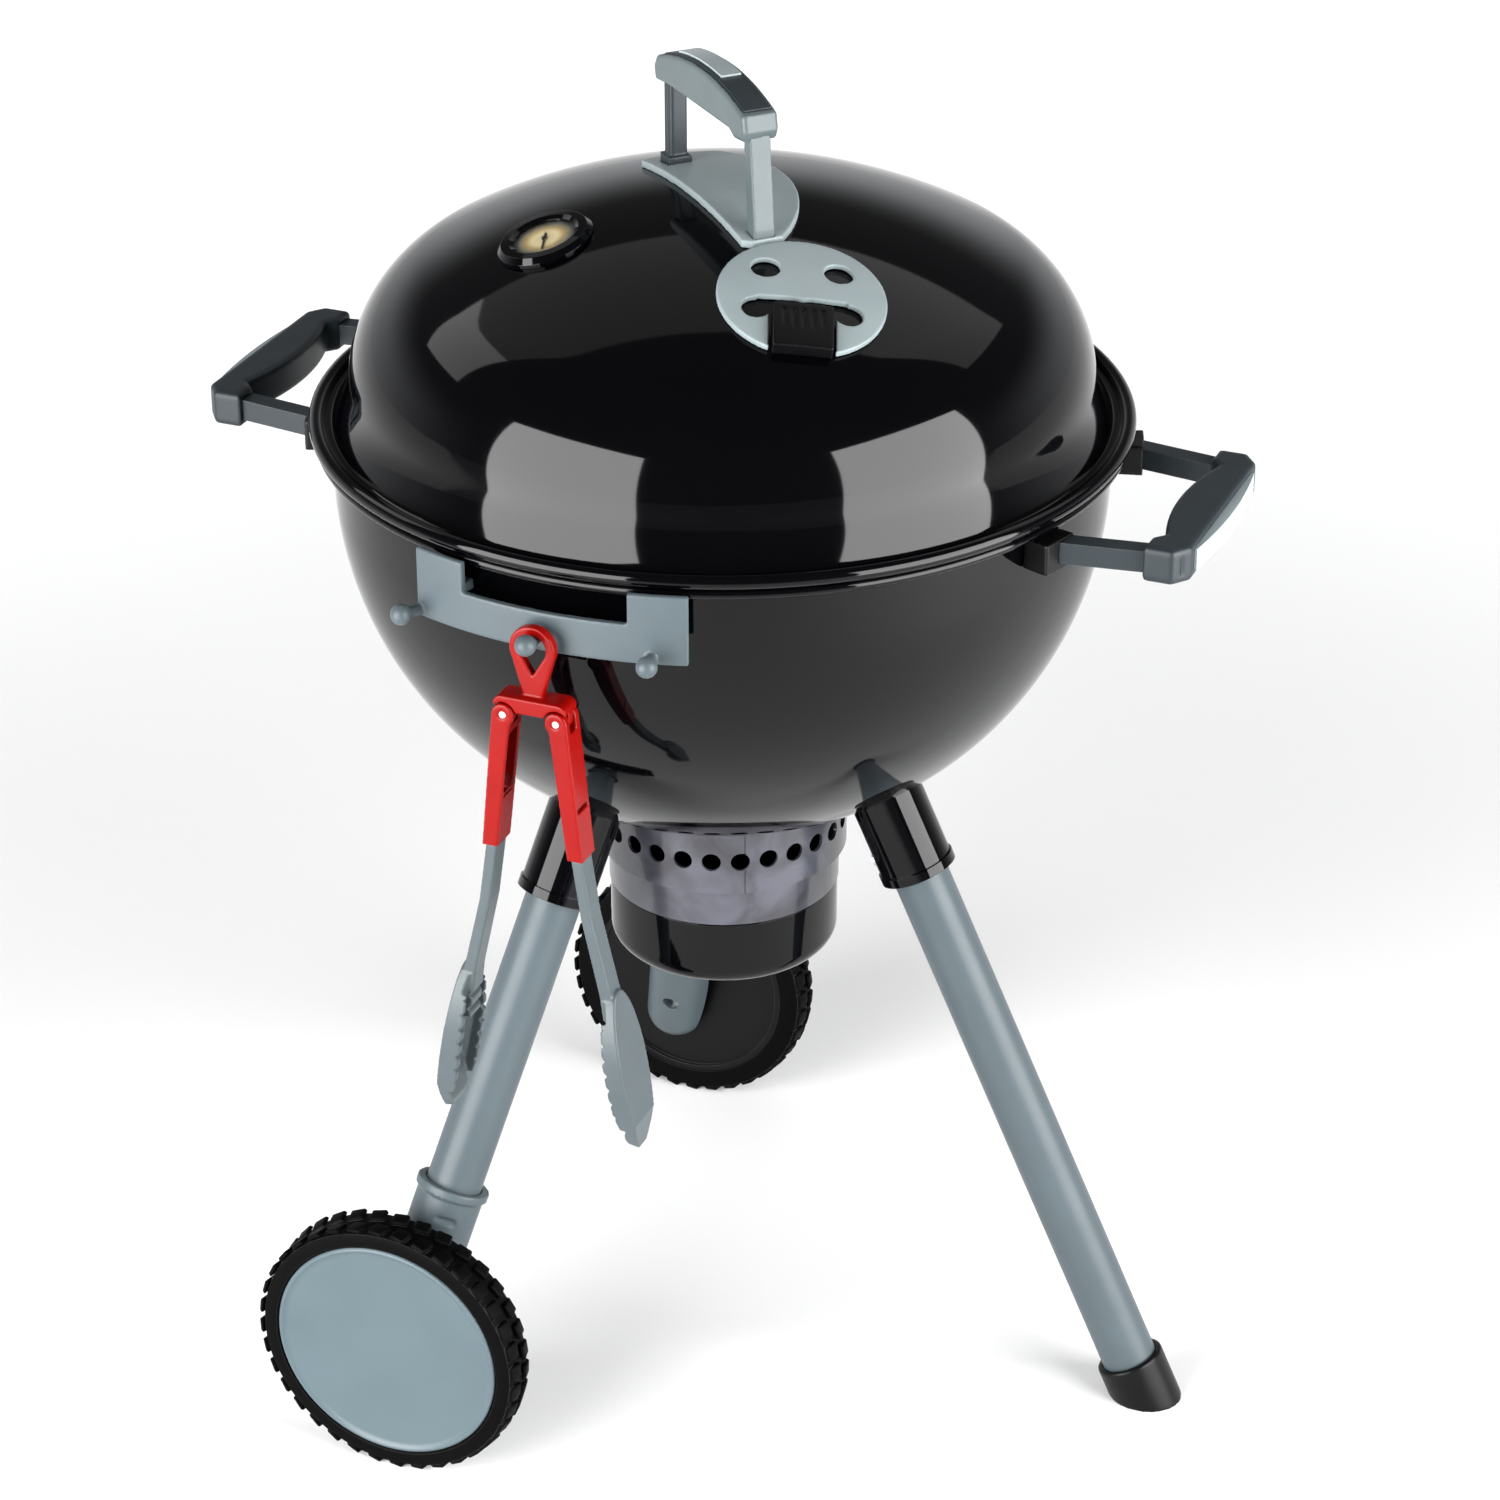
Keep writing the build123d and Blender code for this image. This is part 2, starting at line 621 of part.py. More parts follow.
def lid_grip():
    """The chunky arched grip across the two posts."""
    half = grip_half_width
    ends = [along(grip_arc_centre, grip_arc, a) for a in (110.5, 70.2)]
    low = [(54.6, 0, 620.5), (52.6, 0, 616.0), (43.5, 0, 615.0), (38.0, 0, 617.6),
           (-24.0, 0, grip_low_z), (-38.0, 0, grip_low_z - 1.5), (-39.6, 0, 622.0)]
    top = ThreePointArc(ends[0], along(grip_arc_centre, grip_arc, 89.0), ends[1])
    path = [ends[1], *low, ends[0]]
    edges = [top] + [Line(a, b) for a, b in zip(path, path[1:])]
    body = extrude(Pos(0, -half, 0) * make_face(edges), 2 * half, dir=(0, 1, 0))
    sides = body.edges().group_by(Axis.Y)[0] + body.edges().group_by(Axis.Y)[-1]
    body = rounded(body, sides, 2.0)
    return handle_plane() * body - lid_grip_inlay() - rear_post_body() - front_post_body()


def heat_shield():
    """The thin plate under the lid handle: straight on one side, bulging on the other."""
    low = 540.0
    points = [(-47, -11.0), (56, -10.0), (58.6, -6.0), (58.6, 8.0)]
    edges = [Line((*a, low), (*b, low)) for a, b in zip(points, points[1:])]
    edges += [ThreePointArc((58.6, 8, low), (14, 34.0, low), (-42, 24, low)),
              Line((-42, 24, low), (-47, 10, low)), Line((-47, 10, low), (-47, -11.0, low))]
    outline = handle_plane() * extrude(make_face(edges), 80, dir=(0, 0, 1))
    shell = Pos(0, 0, crown_z) * (Sphere(crown_arc + 3.4) - Sphere(crown_arc + touch))
    return (outline & shell) - rear_post_body() - front_post_body()


def damper_disc():
    """The round grey damper, curved to the lid, with its snap pin through the lid."""
    shell = Pos(0, 0, crown_z) * (Sphere(crown_arc + 3.0) - Sphere(crown_arc + gap))
    disc = shell & damper_plane() * (Pos(0, 0, -10) * Cylinder(damper_r, 30, align=BASE))
    disc -= damper_plane() * (Pos(26, 0, 0) * Box(40, 27.8, 30) + Pos(8.5, 0, 0) * Box(11, 38, 30))
    pin = damper_plane() * (Pos(0, 0, -6.4) * Cylinder(4.0, 9.0, align=BASE))
    catch = damper_plane() * (Pos(0, 0, -6.4) * Cylinder(6.0, 2.4, align=BASE))
    return disc - damper_hole_tools(6.3, -8, 8) + pin + catch


def damper_tab():
    """The dark ribbed thumb tab in the damper's notch."""
    shell = Pos(0, 0, crown_z) * (Sphere(crown_arc + 6.0) - Sphere(crown_arc + gap))
    tab = shell & damper_plane() * (Pos(22.0, 0, 0) * Box(24.4, 25.2, 30))
    web = Pos(0, 0, crown_z) * (Sphere(crown_arc + 1.2) - Sphere(crown_arc + gap))
    tab += web & damper_plane() * (Pos(7.4, 0, 0) * Box(8.6, 20.0, 30))
    ribs = [damper_plane() * (Pos(23, y, 6.4) * Box(20, 1.6, 3.0)) for y in (-8, -4, 0, 4, 8)]
    return tab - ribs


# ---- thermometer ----
def gauge_plane():
    return on_crown(gauge_distance, gauge_azimuth)


def gauge_ring(points):
    ring = revolve(make_face(Polyline(*[(r, 0, z) for r, z in points], close=True)), Axis.Z, 360)
    return gauge_plane() * ring - crown_ball


def gauge_bezel():
    return gauge_ring([(13.6, -4), (21.2, -4), (21.2, 1.0), (19.2, 3.4), (15.6, 3.8), (13.6, 2.6)])


def gauge_dial():
    return gauge_ring([(0, -4), (13.6 - touch, -4), (13.6 - touch, 1.2), (0, 1.2)])


def gauge_needle():
    needle = Pos(2.5, 0, 1.25 + touch) * Box(13, 0.9, 0.5, align=BASE)
    hub = Pos(0, 0, 1.25) * Cylinder(1.4, 0.65, align=BASE)
    return gauge_plane() * (Rot(0, 0, 60) * needle + hub)


def gauge_lens():
    edge = 13.6 - touch
    return gauge_ring([(0, 2.0), (edge, 2.0), (edge, 2.5), (10.0, 3.1), (5.0, 3.5), (0, 3.6)])


# ---- tongs, hung on the middle hook ----
arm_pivot_x = 12.0
arm_pivot_z = 413.0
tongs_eye_z = hook_z + hook_stem_r + gap - 6.2
tongs_blade_z = 350.0
tongs_tip_z = 214.0
tongs_tip_x = 44.0


def tongs_head():
    """The hanging eye, its neck and the bridge between the two arms."""
    front, back = tongs_y - 2.2, tongs_y + 2.2
    eye = rod((hook_x, front, tongs_eye_z), (hook_x, back, tongs_eye_z), 10.2)
    eye += upright([(hook_x - 9.2, tongs_eye_z - 4.4), (hook_x + 9.2, tongs_eye_z - 4.4),
                    (hook_x + 3.5, 419.0), (hook_x - 3.5, 419.0)], front, back)
    eye -= rod((hook_x, front - 1, tongs_eye_z), (hook_x, back + 1, tongs_eye_z), 6.2)
    eye -= upright([(hook_x - 5.4, tongs_eye_z - 3.0), (hook_x + 5.4, tongs_eye_z - 3.0),
                    (hook_x, tongs_eye_z - 12.0)], front - 1, back + 1)
    bridge = block((hook_x - 16.5, hook_x + 16.5), (tongs_y - 6.0, tongs_y + 6.0), (414.5, 421.5))
    bridge = rounded(bridge, bridge.edges().filter_by(Axis.Y).group_by(Axis.Z)[-1], 4.0)
    for side in (-1, 1):
        x = hook_x + side * arm_pivot_x
        bridge += rod((x, tongs_y - 2.4, arm_pivot_z), (x, tongs_y + 2.4, arm_pivot_z), 4.4)
        bridge += block((x - 3.0, x + 3.0), (tongs_y - 2.4, tongs_y + 2.4), (arm_pivot_z, 417.0))
        bridge -= rod((x, tongs_y - 7, arm_pivot_z), (x, tongs_y + 7, arm_pivot_z), 1.5)
        bridge -= rod((x, tongs_y - 7, arm_pivot_z), (x, tongs_y - 2.4, arm_pivot_z), 5.6)
        bridge -= rod((x, tongs_y + 2.4, arm_pivot_z), (x, tongs_y + 7, arm_pivot_z), 5.6)
    return eye + bridge


def tongs_pins():
    pins = []
    for side in (-1, 1):
        x = hook_x + side * arm_pivot_x
        pins.append(rod((x, tongs_y - 6.4, arm_pivot_z), (x, tongs_y + 6.4, arm_pivot_z), 1.5))
    return pins


def tongs_sleeve(side):
    """A red upper arm: a fork round the pivot above, a channel open inwards below."""
    x, half, depth = arm_pivot_x, 3.6, 6.9
    low_x = 19.5
    outline = [(x - half, arm_pivot_z), (x + half + 1.4, arm_pivot_z), (low_x + half, tongs_blade_z),
               (low_x - half, tongs_blade_z)]
    points = [(hook_x + side * px, pz) for px, pz in outline]
    arm = upright(points, tongs_y - depth, tongs_y + depth)
    centre = hook_x + side * x
    arm += rod((centre, tongs_y - depth, arm_pivot_z), (centre, tongs_y + depth, arm_pivot_z), 5.0)
    arm -= rod((centre, tongs_y - 2.4 - gap, arm_pivot_z), (centre, tongs_y + 2.4 + gap, arm_pivot_z), 5.6)
    arm -= block((centre - 12, centre + 12), (tongs_y - 2.4 - gap, tongs_y + 2.4 + gap), (408, 425))
    arm -= rod((centre, tongs_y - 8, arm_pivot_z), (centre, tongs_y + 8, arm_pivot_z), 1.5 + touch)
    channel = [(x - half - 2, 404), (x + 2.0, 404), (low_x + half - 2.2, 372), (low_x - half - 2, 372)]
    hollow = [(hook_x + side * px, pz) for px, pz in channel]
    return arm - upright(hollow, tongs_y - depth + 1.8, tongs_y + depth - 1.8)


def tongs_blade(side):
    """A grey lower arm that ends in a toothed scoop."""
    shaft = [(17.0, 350.0 - touch), (22.0, 350.0 - touch), (26.0, 322.0), (34.5, 286.0), (38.0, 262.0),
             (32.0, 262.0), (29.0, 286.0), (21.0, 322.0)]
    blade = upright([(hook_x + side * px, pz) for px, pz in shaft], tongs_y - 5.2, tongs_y + 5.2)
    scoop = [(29.6, 290.0), (35.4, 290.0), (42.0, 256.0), (47.0, 228.0), (tongs_tip_x + 2.0, tongs_tip_z),
             (tongs_tip_x - 2.5, tongs_tip_z + 2), (37.0, 232.0), (33.0, 256.0)]
    head = upright([(hook_x + side * px, pz) for px, pz in scoop], tongs_y - 13.0, tongs_y + 13.0)
    width = Pos(0, tongs_y, 250.0) * Rot(0, 90, 0) * scaled_disc()
    head &= width
    hollow = [(28.0, 284.0), (31.5, 284.0), (38.8, 252.0), (43.2, 230.0), (40.0, 218.0), (28.0, 230.0)]
    head -= upright([(hook_x + side * px, pz) for px, pz in hollow], tongs_y - 9.5, tongs_y + 9.5)
    teeth = []
    for step in range(8):
        z = 224.0 + step * 7.0
        x = hook_x + side * (36.0 - (z - 232.0) * 0.14)
        teeth.append(Pos(x, tongs_y, z) * Rot(0, 45, 0) * Box(3.0, 40, 3.0))
    return blade + head - teeth


def scaled_disc():
    """A long oval through which a scoop is cut, lying in the plane across the arms."""
    return extrude(Ellipse(38.0, 13.0), 200, both=True)


# ---- write every piece ----
save("bowl", bowl())
save("bowl_base", bowl_base())
save("bowl_rim", bowl_rim())
save("grate_ledges", *grate_ledges())
save("charcoal_grate", charcoal_grate())
save("charcoal", charcoal())

for name, azimuth in leg_azimuths.items():
    low_z = foot_tube_z if name == "right" else wheel_tube_z
    save(f"leg_socket_{name}", leg_socket(azimuth))
    save(f"leg_tube_{name}", leg_tube(azimuth, low_z))
save("leg_screws", *[leg_screw(azimuth) for azimuth in leg_azimuths.values()])
save("foot_cap", foot_cap())

for name, side in (("front", -1), ("rear", 1)):
    save(f"wheel_bracket_{name}", bracket(leg_azimuths[name], side))
    save(f"axle_{name}", axle(side))
    save(f"tyre_{name}", tyre(side))
    save(f"wheel_core_{name}", wheel_core(side))
    save(f"wheel_disc_{name}", wheel_disc(side))

frame = handle_frame() - screw_holes(1.9 + touch)
roots = [handle_root(side) - screw_holes(1.9 + touch) - handle_frame() for side in (-1, 1)]
for name, turn in (("right", 0), ("left", 180)):
    save(f"handle_frame_{name}", Rot(0, 0, turn) * frame)
    save(f"handle_grip_{name}", Rot(0, 0, turn) * (grip_body() - handle_frame() - grip_plate()))
    save(f"handle_plate_{name}", Rot(0, 0, turn) * grip_plate())
    save(f"handle_roots_{name}", *[Rot(0, 0, turn) * root for root in roots])
save("handle_screws", *handle_screws())

save("tool_holder", tool_holder())
save("vent_band", vent_band())
save("ash_cup", ash_cup())
save("cooking_grate", cooking_grate())

save("lid_shell", lid_shell())
save("lid_rim", lid_rim())
save("lid_handle_screws", *lid_handle_screws())
save("lid_rear_post", lid_post(rear_post_body()))
save("lid_front_post", lid_post(front_post_body()))
save("lid_grip", lid_grip())
save("lid_grip_inlay", lid_grip_inlay())
save("lid_grip_plate", lid_grip_plate())
save("lid_heat_shield", heat_shield())
save("damper_disc", damper_disc())
save("damper_tab", damper_tab())
save("thermometer_bezel", gauge_bezel())
save("thermometer_dial", gauge_dial())
save("thermometer_needle", gauge_needle())
save("thermometer_lens", gauge_lens())

save("tongs_head", tongs_head())
save("tongs_pins", *tongs_pins())
for name, side in (("left", -1), ("right", 1)):
    save(f"tongs_sleeve_{name}", tongs_sleeve(side))
    save(f"tongs_blade_{name}", tongs_blade(side))
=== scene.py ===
import json
import math
import bmesh
import bpy
from mathutils import Matrix, Vector, noise


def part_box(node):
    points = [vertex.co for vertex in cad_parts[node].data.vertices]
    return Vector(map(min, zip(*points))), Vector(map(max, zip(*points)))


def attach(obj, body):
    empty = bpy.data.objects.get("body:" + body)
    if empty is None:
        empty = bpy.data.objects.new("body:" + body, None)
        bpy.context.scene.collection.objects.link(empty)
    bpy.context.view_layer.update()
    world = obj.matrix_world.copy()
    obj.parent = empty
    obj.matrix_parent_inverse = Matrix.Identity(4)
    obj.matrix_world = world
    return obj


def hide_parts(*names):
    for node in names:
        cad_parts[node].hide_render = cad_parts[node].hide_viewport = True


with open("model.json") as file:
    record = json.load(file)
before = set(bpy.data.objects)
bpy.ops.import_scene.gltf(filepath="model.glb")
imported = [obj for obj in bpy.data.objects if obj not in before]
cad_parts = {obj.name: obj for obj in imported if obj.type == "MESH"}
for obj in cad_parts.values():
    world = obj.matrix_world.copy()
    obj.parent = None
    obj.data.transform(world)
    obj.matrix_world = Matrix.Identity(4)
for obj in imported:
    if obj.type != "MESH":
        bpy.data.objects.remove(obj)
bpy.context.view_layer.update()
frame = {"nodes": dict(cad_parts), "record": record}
nodes = frame["nodes"]
scene = bpy.context.scene
mm = 0.001
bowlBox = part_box("bowl")
axisY = (bowlBox[0].y + bowlBox[1].y) / 2      # the kettle's own axis stands here, at x = 0


# small helpers
def linear(hexColour, alpha=1.0):
    parts = [int(hexColour[i:i + 2], 16) / 255 for i in (1, 3, 5)]
    return [v / 12.92 if v <= 0.04045 else ((v + 0.055) / 1.055) ** 2.4 for v in parts] + [alpha]


def addNode(tree, kind, settings=None, links=None):
    node = tree.nodes.new(kind)
    for name, value in (settings or {}).items():
        if isinstance(name, int) or name in node.inputs:
            node.inputs[name].default_value = value
        else:
            setattr(node, name, value)
    for name, socket in (links or {}).items():
        tree.links.new(socket, node.inputs[name])
    return node


def newMaterial(name):
    material = bpy.data.materials.new(name)
    material.use_nodes = True
    material.node_tree.nodes.clear()
    return material, material.node_tree


def meshPiece(name, mesh, material):
    piece = bpy.data.objects.new(name, mesh)
    scene.collection.objects.link(piece)
    mesh.materials.clear()
    mesh.materials.append(material)
    return piece


def place(piece, body, slotName, *replaced):
    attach(piece, body)
    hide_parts(*replaced)
    return piece


# materials
# Injection-moulded plastics. grainMm is the grain of the spark-eroded mould, drawn coarse enough to show.
# waveMm is the slow unevenness of a moulded wall, which makes reflections swim a little.
# the edge setting is how much paler the edges of about edgeMm get, a painted highlight standing in for light
# caught on the rounded edge, and drift is how far the tone wanders.
plastics = {
    # deep black with mirror-sharp panels of light
    "polishedBlackAbs": dict(colour="#020203", rough=0.05, specular=0.20, grainMm=0.0, grain=0.0, waveMm=38,
                             wave=0.05,
                             edgeMm=0.35, edge=0.0, drift=0.10),
    # soft blue-grey sheen of the legs and the tool holder
    "satinBlueGreyPp": dict(colour="#3f484c", rough=0.38, specular=0.25, grainMm=0.9, grain=0.05, waveMm=30,
                            wave=0.03,
                            edgeMm=0.45, edge=0.22, drift=0.10),
    # the same grey a shade lighter, for the flat wheel discs
    "satinDiscPp": dict(colour="#475459", rough=0.34, specular=0.3, grainMm=0.9, grain=0.05, waveMm=30,
                        wave=0.04,
                        edgeMm=0.45, edge=0.3, drift=0.10),
    # dark slate with a fine dry grain
    "sparkSlatePp": dict(colour="#1b2226", rough=0.42, specular=0.26, grainMm=0.8, grain=0.16, waveMm=24,
                         wave=0.03,
                         edgeMm=0.6, edge=0.22, drift=0.16),
    # mid grey with soft highlights along the grip
    "satinGreyPp": dict(colour="#454e50", rough=0.36, specular=0.3, grainMm=0.8, grain=0.07, waveMm=24,
                        wave=0.03,
                        edgeMm=0.5, edge=0.30, drift=0.12),
    # pale grey of the damper and the heat shield
    "paleGreyPp": dict(colour="#798385", rough=0.36, specular=0.3, grainMm=0.8, grain=0.07, waveMm=24,
                       wave=0.03,
                       edgeMm=0.5, edge=0.35, drift=0.10),
    # smooth pale inset with a bright glint
    "paleBlankPlate": dict(colour="#8a9497", rough=0.24, specular=0.4, grainMm=0.0, grain=0.0, waveMm=20,
                           wave=0.02,
                           edgeMm=0.3, edge=0.2, drift=0.08),
    # dull black that swallows the light
    "mattBlackPp": dict(colour="#040405", rough=0.34, specular=0.16, grainMm=0.7, grain=0.14, waveMm=20,
                        wave=0.03,
                        edgeMm=0.5, edge=0.12, drift=0.20),
    # dead black of soft tyre plastic, slightly rough
    "knobblyBlackPvc": dict(colour="#020202", rough=0.52, specular=0.04, grainMm=1.1, grain=0.20, waveMm=16,
                            wave=0.05,
                            edgeMm=0.5, edge=0.10, drift=0.25),
    # strong red with small wet highlights
    "glossRedAbs": dict(colour="#700503", rough=0.20, specular=0.14, grainMm=0.0, grain=0.0, waveMm=14,
                        wave=0.04,
                        edgeMm=0.3, edge=0.15, drift=0.10),
    # cool grey with a waxy sheen on the blades
    "satinGreyNylon": dict(colour="#3d4548", rough=0.33, specular=0.3, grainMm=0.8, grain=0.06, waveMm=16,
                           wave=0.04,
                           edgeMm=0.4, edge=0.3, drift=0.12),
    # coarse, brownish black like coal dust
    "sootyBlackPp": dict(colour="#1b1917", rough=0.62, specular=0.35, grainMm=1.6, grain=0.55, waveMm=9,
                         wave=0.3,
                         edgeMm=0.6, edge=0.25, drift=0.6),
}


def mouldedPlastic(name):
    facts = plastics[name]
    material, tree = newMaterial(name)
    base = linear(facts["colour"])
    where = addNode(tree, "ShaderNodeTexCoord").outputs["Object"]
    wave = addNode(tree, "ShaderNodeTexNoise", {"Scale": 1000 / facts["waveMm"], "Detail": 2.0},
                   {"Vector": where})
    drift = facts["drift"]
    darker, lighter = [v * (1 - drift) for v in base[:3]] + [1], [v * (1 + drift) for v in base[:3]] + [1]
    tone = addNode(tree, "ShaderNodeMix", {"data_type": "RGBA", 6: darker, 7: lighter},
                   {0: wave.outputs["Fac"]})
    soft = addNode(tree, "ShaderNodeBevel", {"samples": 4, "Radius": facts["edgeMm"] * mm})
    colour = tone.outputs[2]
    if facts["edge"]:      # painted highlight: rounded edges go paler, as if catching the light
        real = addNode(tree, "ShaderNodeNewGeometry").outputs["Normal"]
        turned = addNode(tree, "ShaderNodeVectorMath", {"operation": "DOT_PRODUCT"},
                         {0: soft.outputs["Normal"], 1: real}).outputs["Value"]
        highlightMask = addNode(tree, "ShaderNodeMapRange", {"From Min": 0.97, "From Max": 0.80, "To Min": 0.0,
                                                    "To Max": facts["edge"]},
                       {"Value": turned}).outputs["Result"]
        # painted highlight: the paler colour laid along the edges
        edgeHighlightColour = [v + 0.30 * (1 - v) for v in base[:3]] + [1]
        colour = addNode(tree, "ShaderNodeMix", {"data_type": "RGBA", 7: edgeHighlightColour},
                         {0: highlightMask, 6: colour}).outputs[2]
    normal = addNode(tree, "ShaderNodeBump", {"Strength": facts["wave"], "Distance": 0.4 * mm},
                     {"Height": wave.outputs["Fac"], "Normal": soft.outputs["Normal"]}).outputs["Normal"]
    if facts["grain"]:
        pits = addNode(tree, "ShaderNodeTexNoise", {"Scale": 1000 / facts["grainMm"], "Detail": 3.0},
                       {"Vector": where})
        normal = addNode(tree, "ShaderNodeBump", {"Strength": facts["grain"], "Distance": 0.12 * mm},
                         {"Height": pits.outputs["Fac"], "Normal": normal}).outputs["Normal"]
    patches = addNode(tree, "ShaderNodeTexNoise", {"Scale": 60.0, "Detail": 4.0},
                      {"Vector": where}).outputs["Fac"]
    rough = addNode(tree, "ShaderNodeMapRange",
                    {"To Min": facts["rough"] * 0.85, "To Max": facts["rough"] * 1.2},
                    {"Value": patches}).outputs["Result"]
    shader = addNode(tree, "ShaderNodeBsdfPrincipled", {"IOR": 1.5, "Specular IOR Level": facts["specular"]},
                     {"Base Color": colour, "Roughness": rough, "Normal": normal})
    addNode(tree, "ShaderNodeOutputMaterial", {}, {"Surface": shader.outputs["BSDF"]})
    return material


finish = {name: mouldedPlastic(name) for name in plastics}


def silverBandPlastic():
    # silver-pigmented PP: small flakes glint and the flow of the moulding shows as cloudy streaks
    facts = dict(dark="#212127", light="#40414a", cloudMm=26, flakeMm=1.3, rough=0.30)
    material, tree = newMaterial("silverFlakePp")
    where = addNode(tree, "ShaderNodeTexCoord").outputs["Object"]
    cloud = addNode(tree, "ShaderNodeTexNoise",
                    {"Scale": 1000 / facts["cloudMm"], "Detail": 3.0, "Distortion": 0.8},
                    {"Vector": where}).outputs["Fac"]
    spread = addNode(tree, "ShaderNodeMapRange", {"From Min": 0.35, "From Max": 0.65}, {"Value": cloud})
    tone = addNode(tree, "ShaderNodeMix", {"data_type": "RGBA", 6: linear(facts["dark"]),
                                           7: linear(facts["light"])},
                   {0: spread.outputs["Result"]})
    flake = addNode(tree, "ShaderNodeTexVoronoi", {"Scale": 1000 / facts["flakeMm"]}, {"Vector": where})
    bump = addNode(tree, "ShaderNodeBump", {"Strength": 0.12, "Distance": 0.1 * mm},
                   {"Height": flake.outputs["Distance"]})
    shader = addNode(tree, "ShaderNodeBsdfPrincipled", {"Metallic": 0.25, "Roughness": facts["rough"],
                                                        "Coat Weight": 0.6, "Coat Roughness": 0.12},
                     {"Base Color": tone.outputs[2], "Normal": bump.outputs["Normal"]})
    addNode(tree, "ShaderNodeOutputMaterial", {}, {"Surface": shader.outputs["BSDF"]})
    return material


def zincSteel():
    # zinc-plated steel: fine turned lines and a slightly cloudy passivated skin
    facts = dict(colour="#b9bcbe", rough=0.28, lineMm=0.5)
    material, tree = newMaterial("zincPlatedSteel")
    where = addNode(tree, "ShaderNodeTexCoord").outputs["Object"]
    lines = addNode(tree, "ShaderNodeTexNoise", {"Scale": 1000 / facts["lineMm"], "Detail": 2.0},
                    {"Vector": where})
    rough = addNode(tree, "ShaderNodeMapRange",
                    {"To Min": facts["rough"] * 0.7, "To Max": facts["rough"] * 1.4},
                    {"Value": lines.outputs["Fac"]}).outputs["Result"]
    shader = addNode(tree, "ShaderNodeBsdfPrincipled",
                     {"Base Color": linear(facts["colour"]), "Metallic": 1.0},
                     {"Roughness": rough})
    addNode(tree, "ShaderNodeOutputMaterial", {}, {"Surface": shader.outputs["BSDF"]})
    return material


def clearLens():
    # clear polystyrene: it shows as a sharp glint over the dial
    material, tree = newMaterial("clearStyreneLens")
    glass = addNode(tree, "ShaderNodeBsdfPrincipled", {"Base Color": linear("#ffffff"), "Roughness": 0.03,
                                                       "IOR": 1.2, "Transmission Weight": 1.0, "Alpha": 0.25})
    addNode(tree, "ShaderNodeOutputMaterial", {}, {"Surface": glass.outputs["BSDF"]})
    return material


finish["silverFlakePp"] = silverBandPlastic()
finish["zincPlatedSteel"] = zincSteel()
finish["clearStyreneLens"] = clearLens()
print("materials:", len(finish))

# what each CAD piece that stays is made of
keptPieces = {
    "satinBlueGreyPp": ["leg_tube_right", "leg_tube_rear", "leg_tube_front"],
    "polishedBlackAbs": ["leg_socket_right", "leg_socket_rear", "leg_socket_front", "grate_ledges",
                         "thermometer_bezel"],
    "sparkSlatePp": ["handle_frame_right", "handle_frame_left"],
    "mattBlackPp": ["wheel_core_front", "wheel_core_rear", "thermometer_needle"],
    "paleBlankPlate": ["handle_plate_right", "handle_plate_left", "lid_grip_plate"],
    "zincPlatedSteel": ["leg_screws", "handle_screws", "axle_front", "axle_rear", "lid_handle_screws",
                        "tongs_pins"],
    "silverFlakePp": ["vent_band"],
    "clearStyreneLens": ["thermometer_lens"],
}
for finishName, names in keptPieces.items():
    for name in names:
        nodes[name].data.materials.clear()
        nodes[name].data.materials.append(finish[finishName])


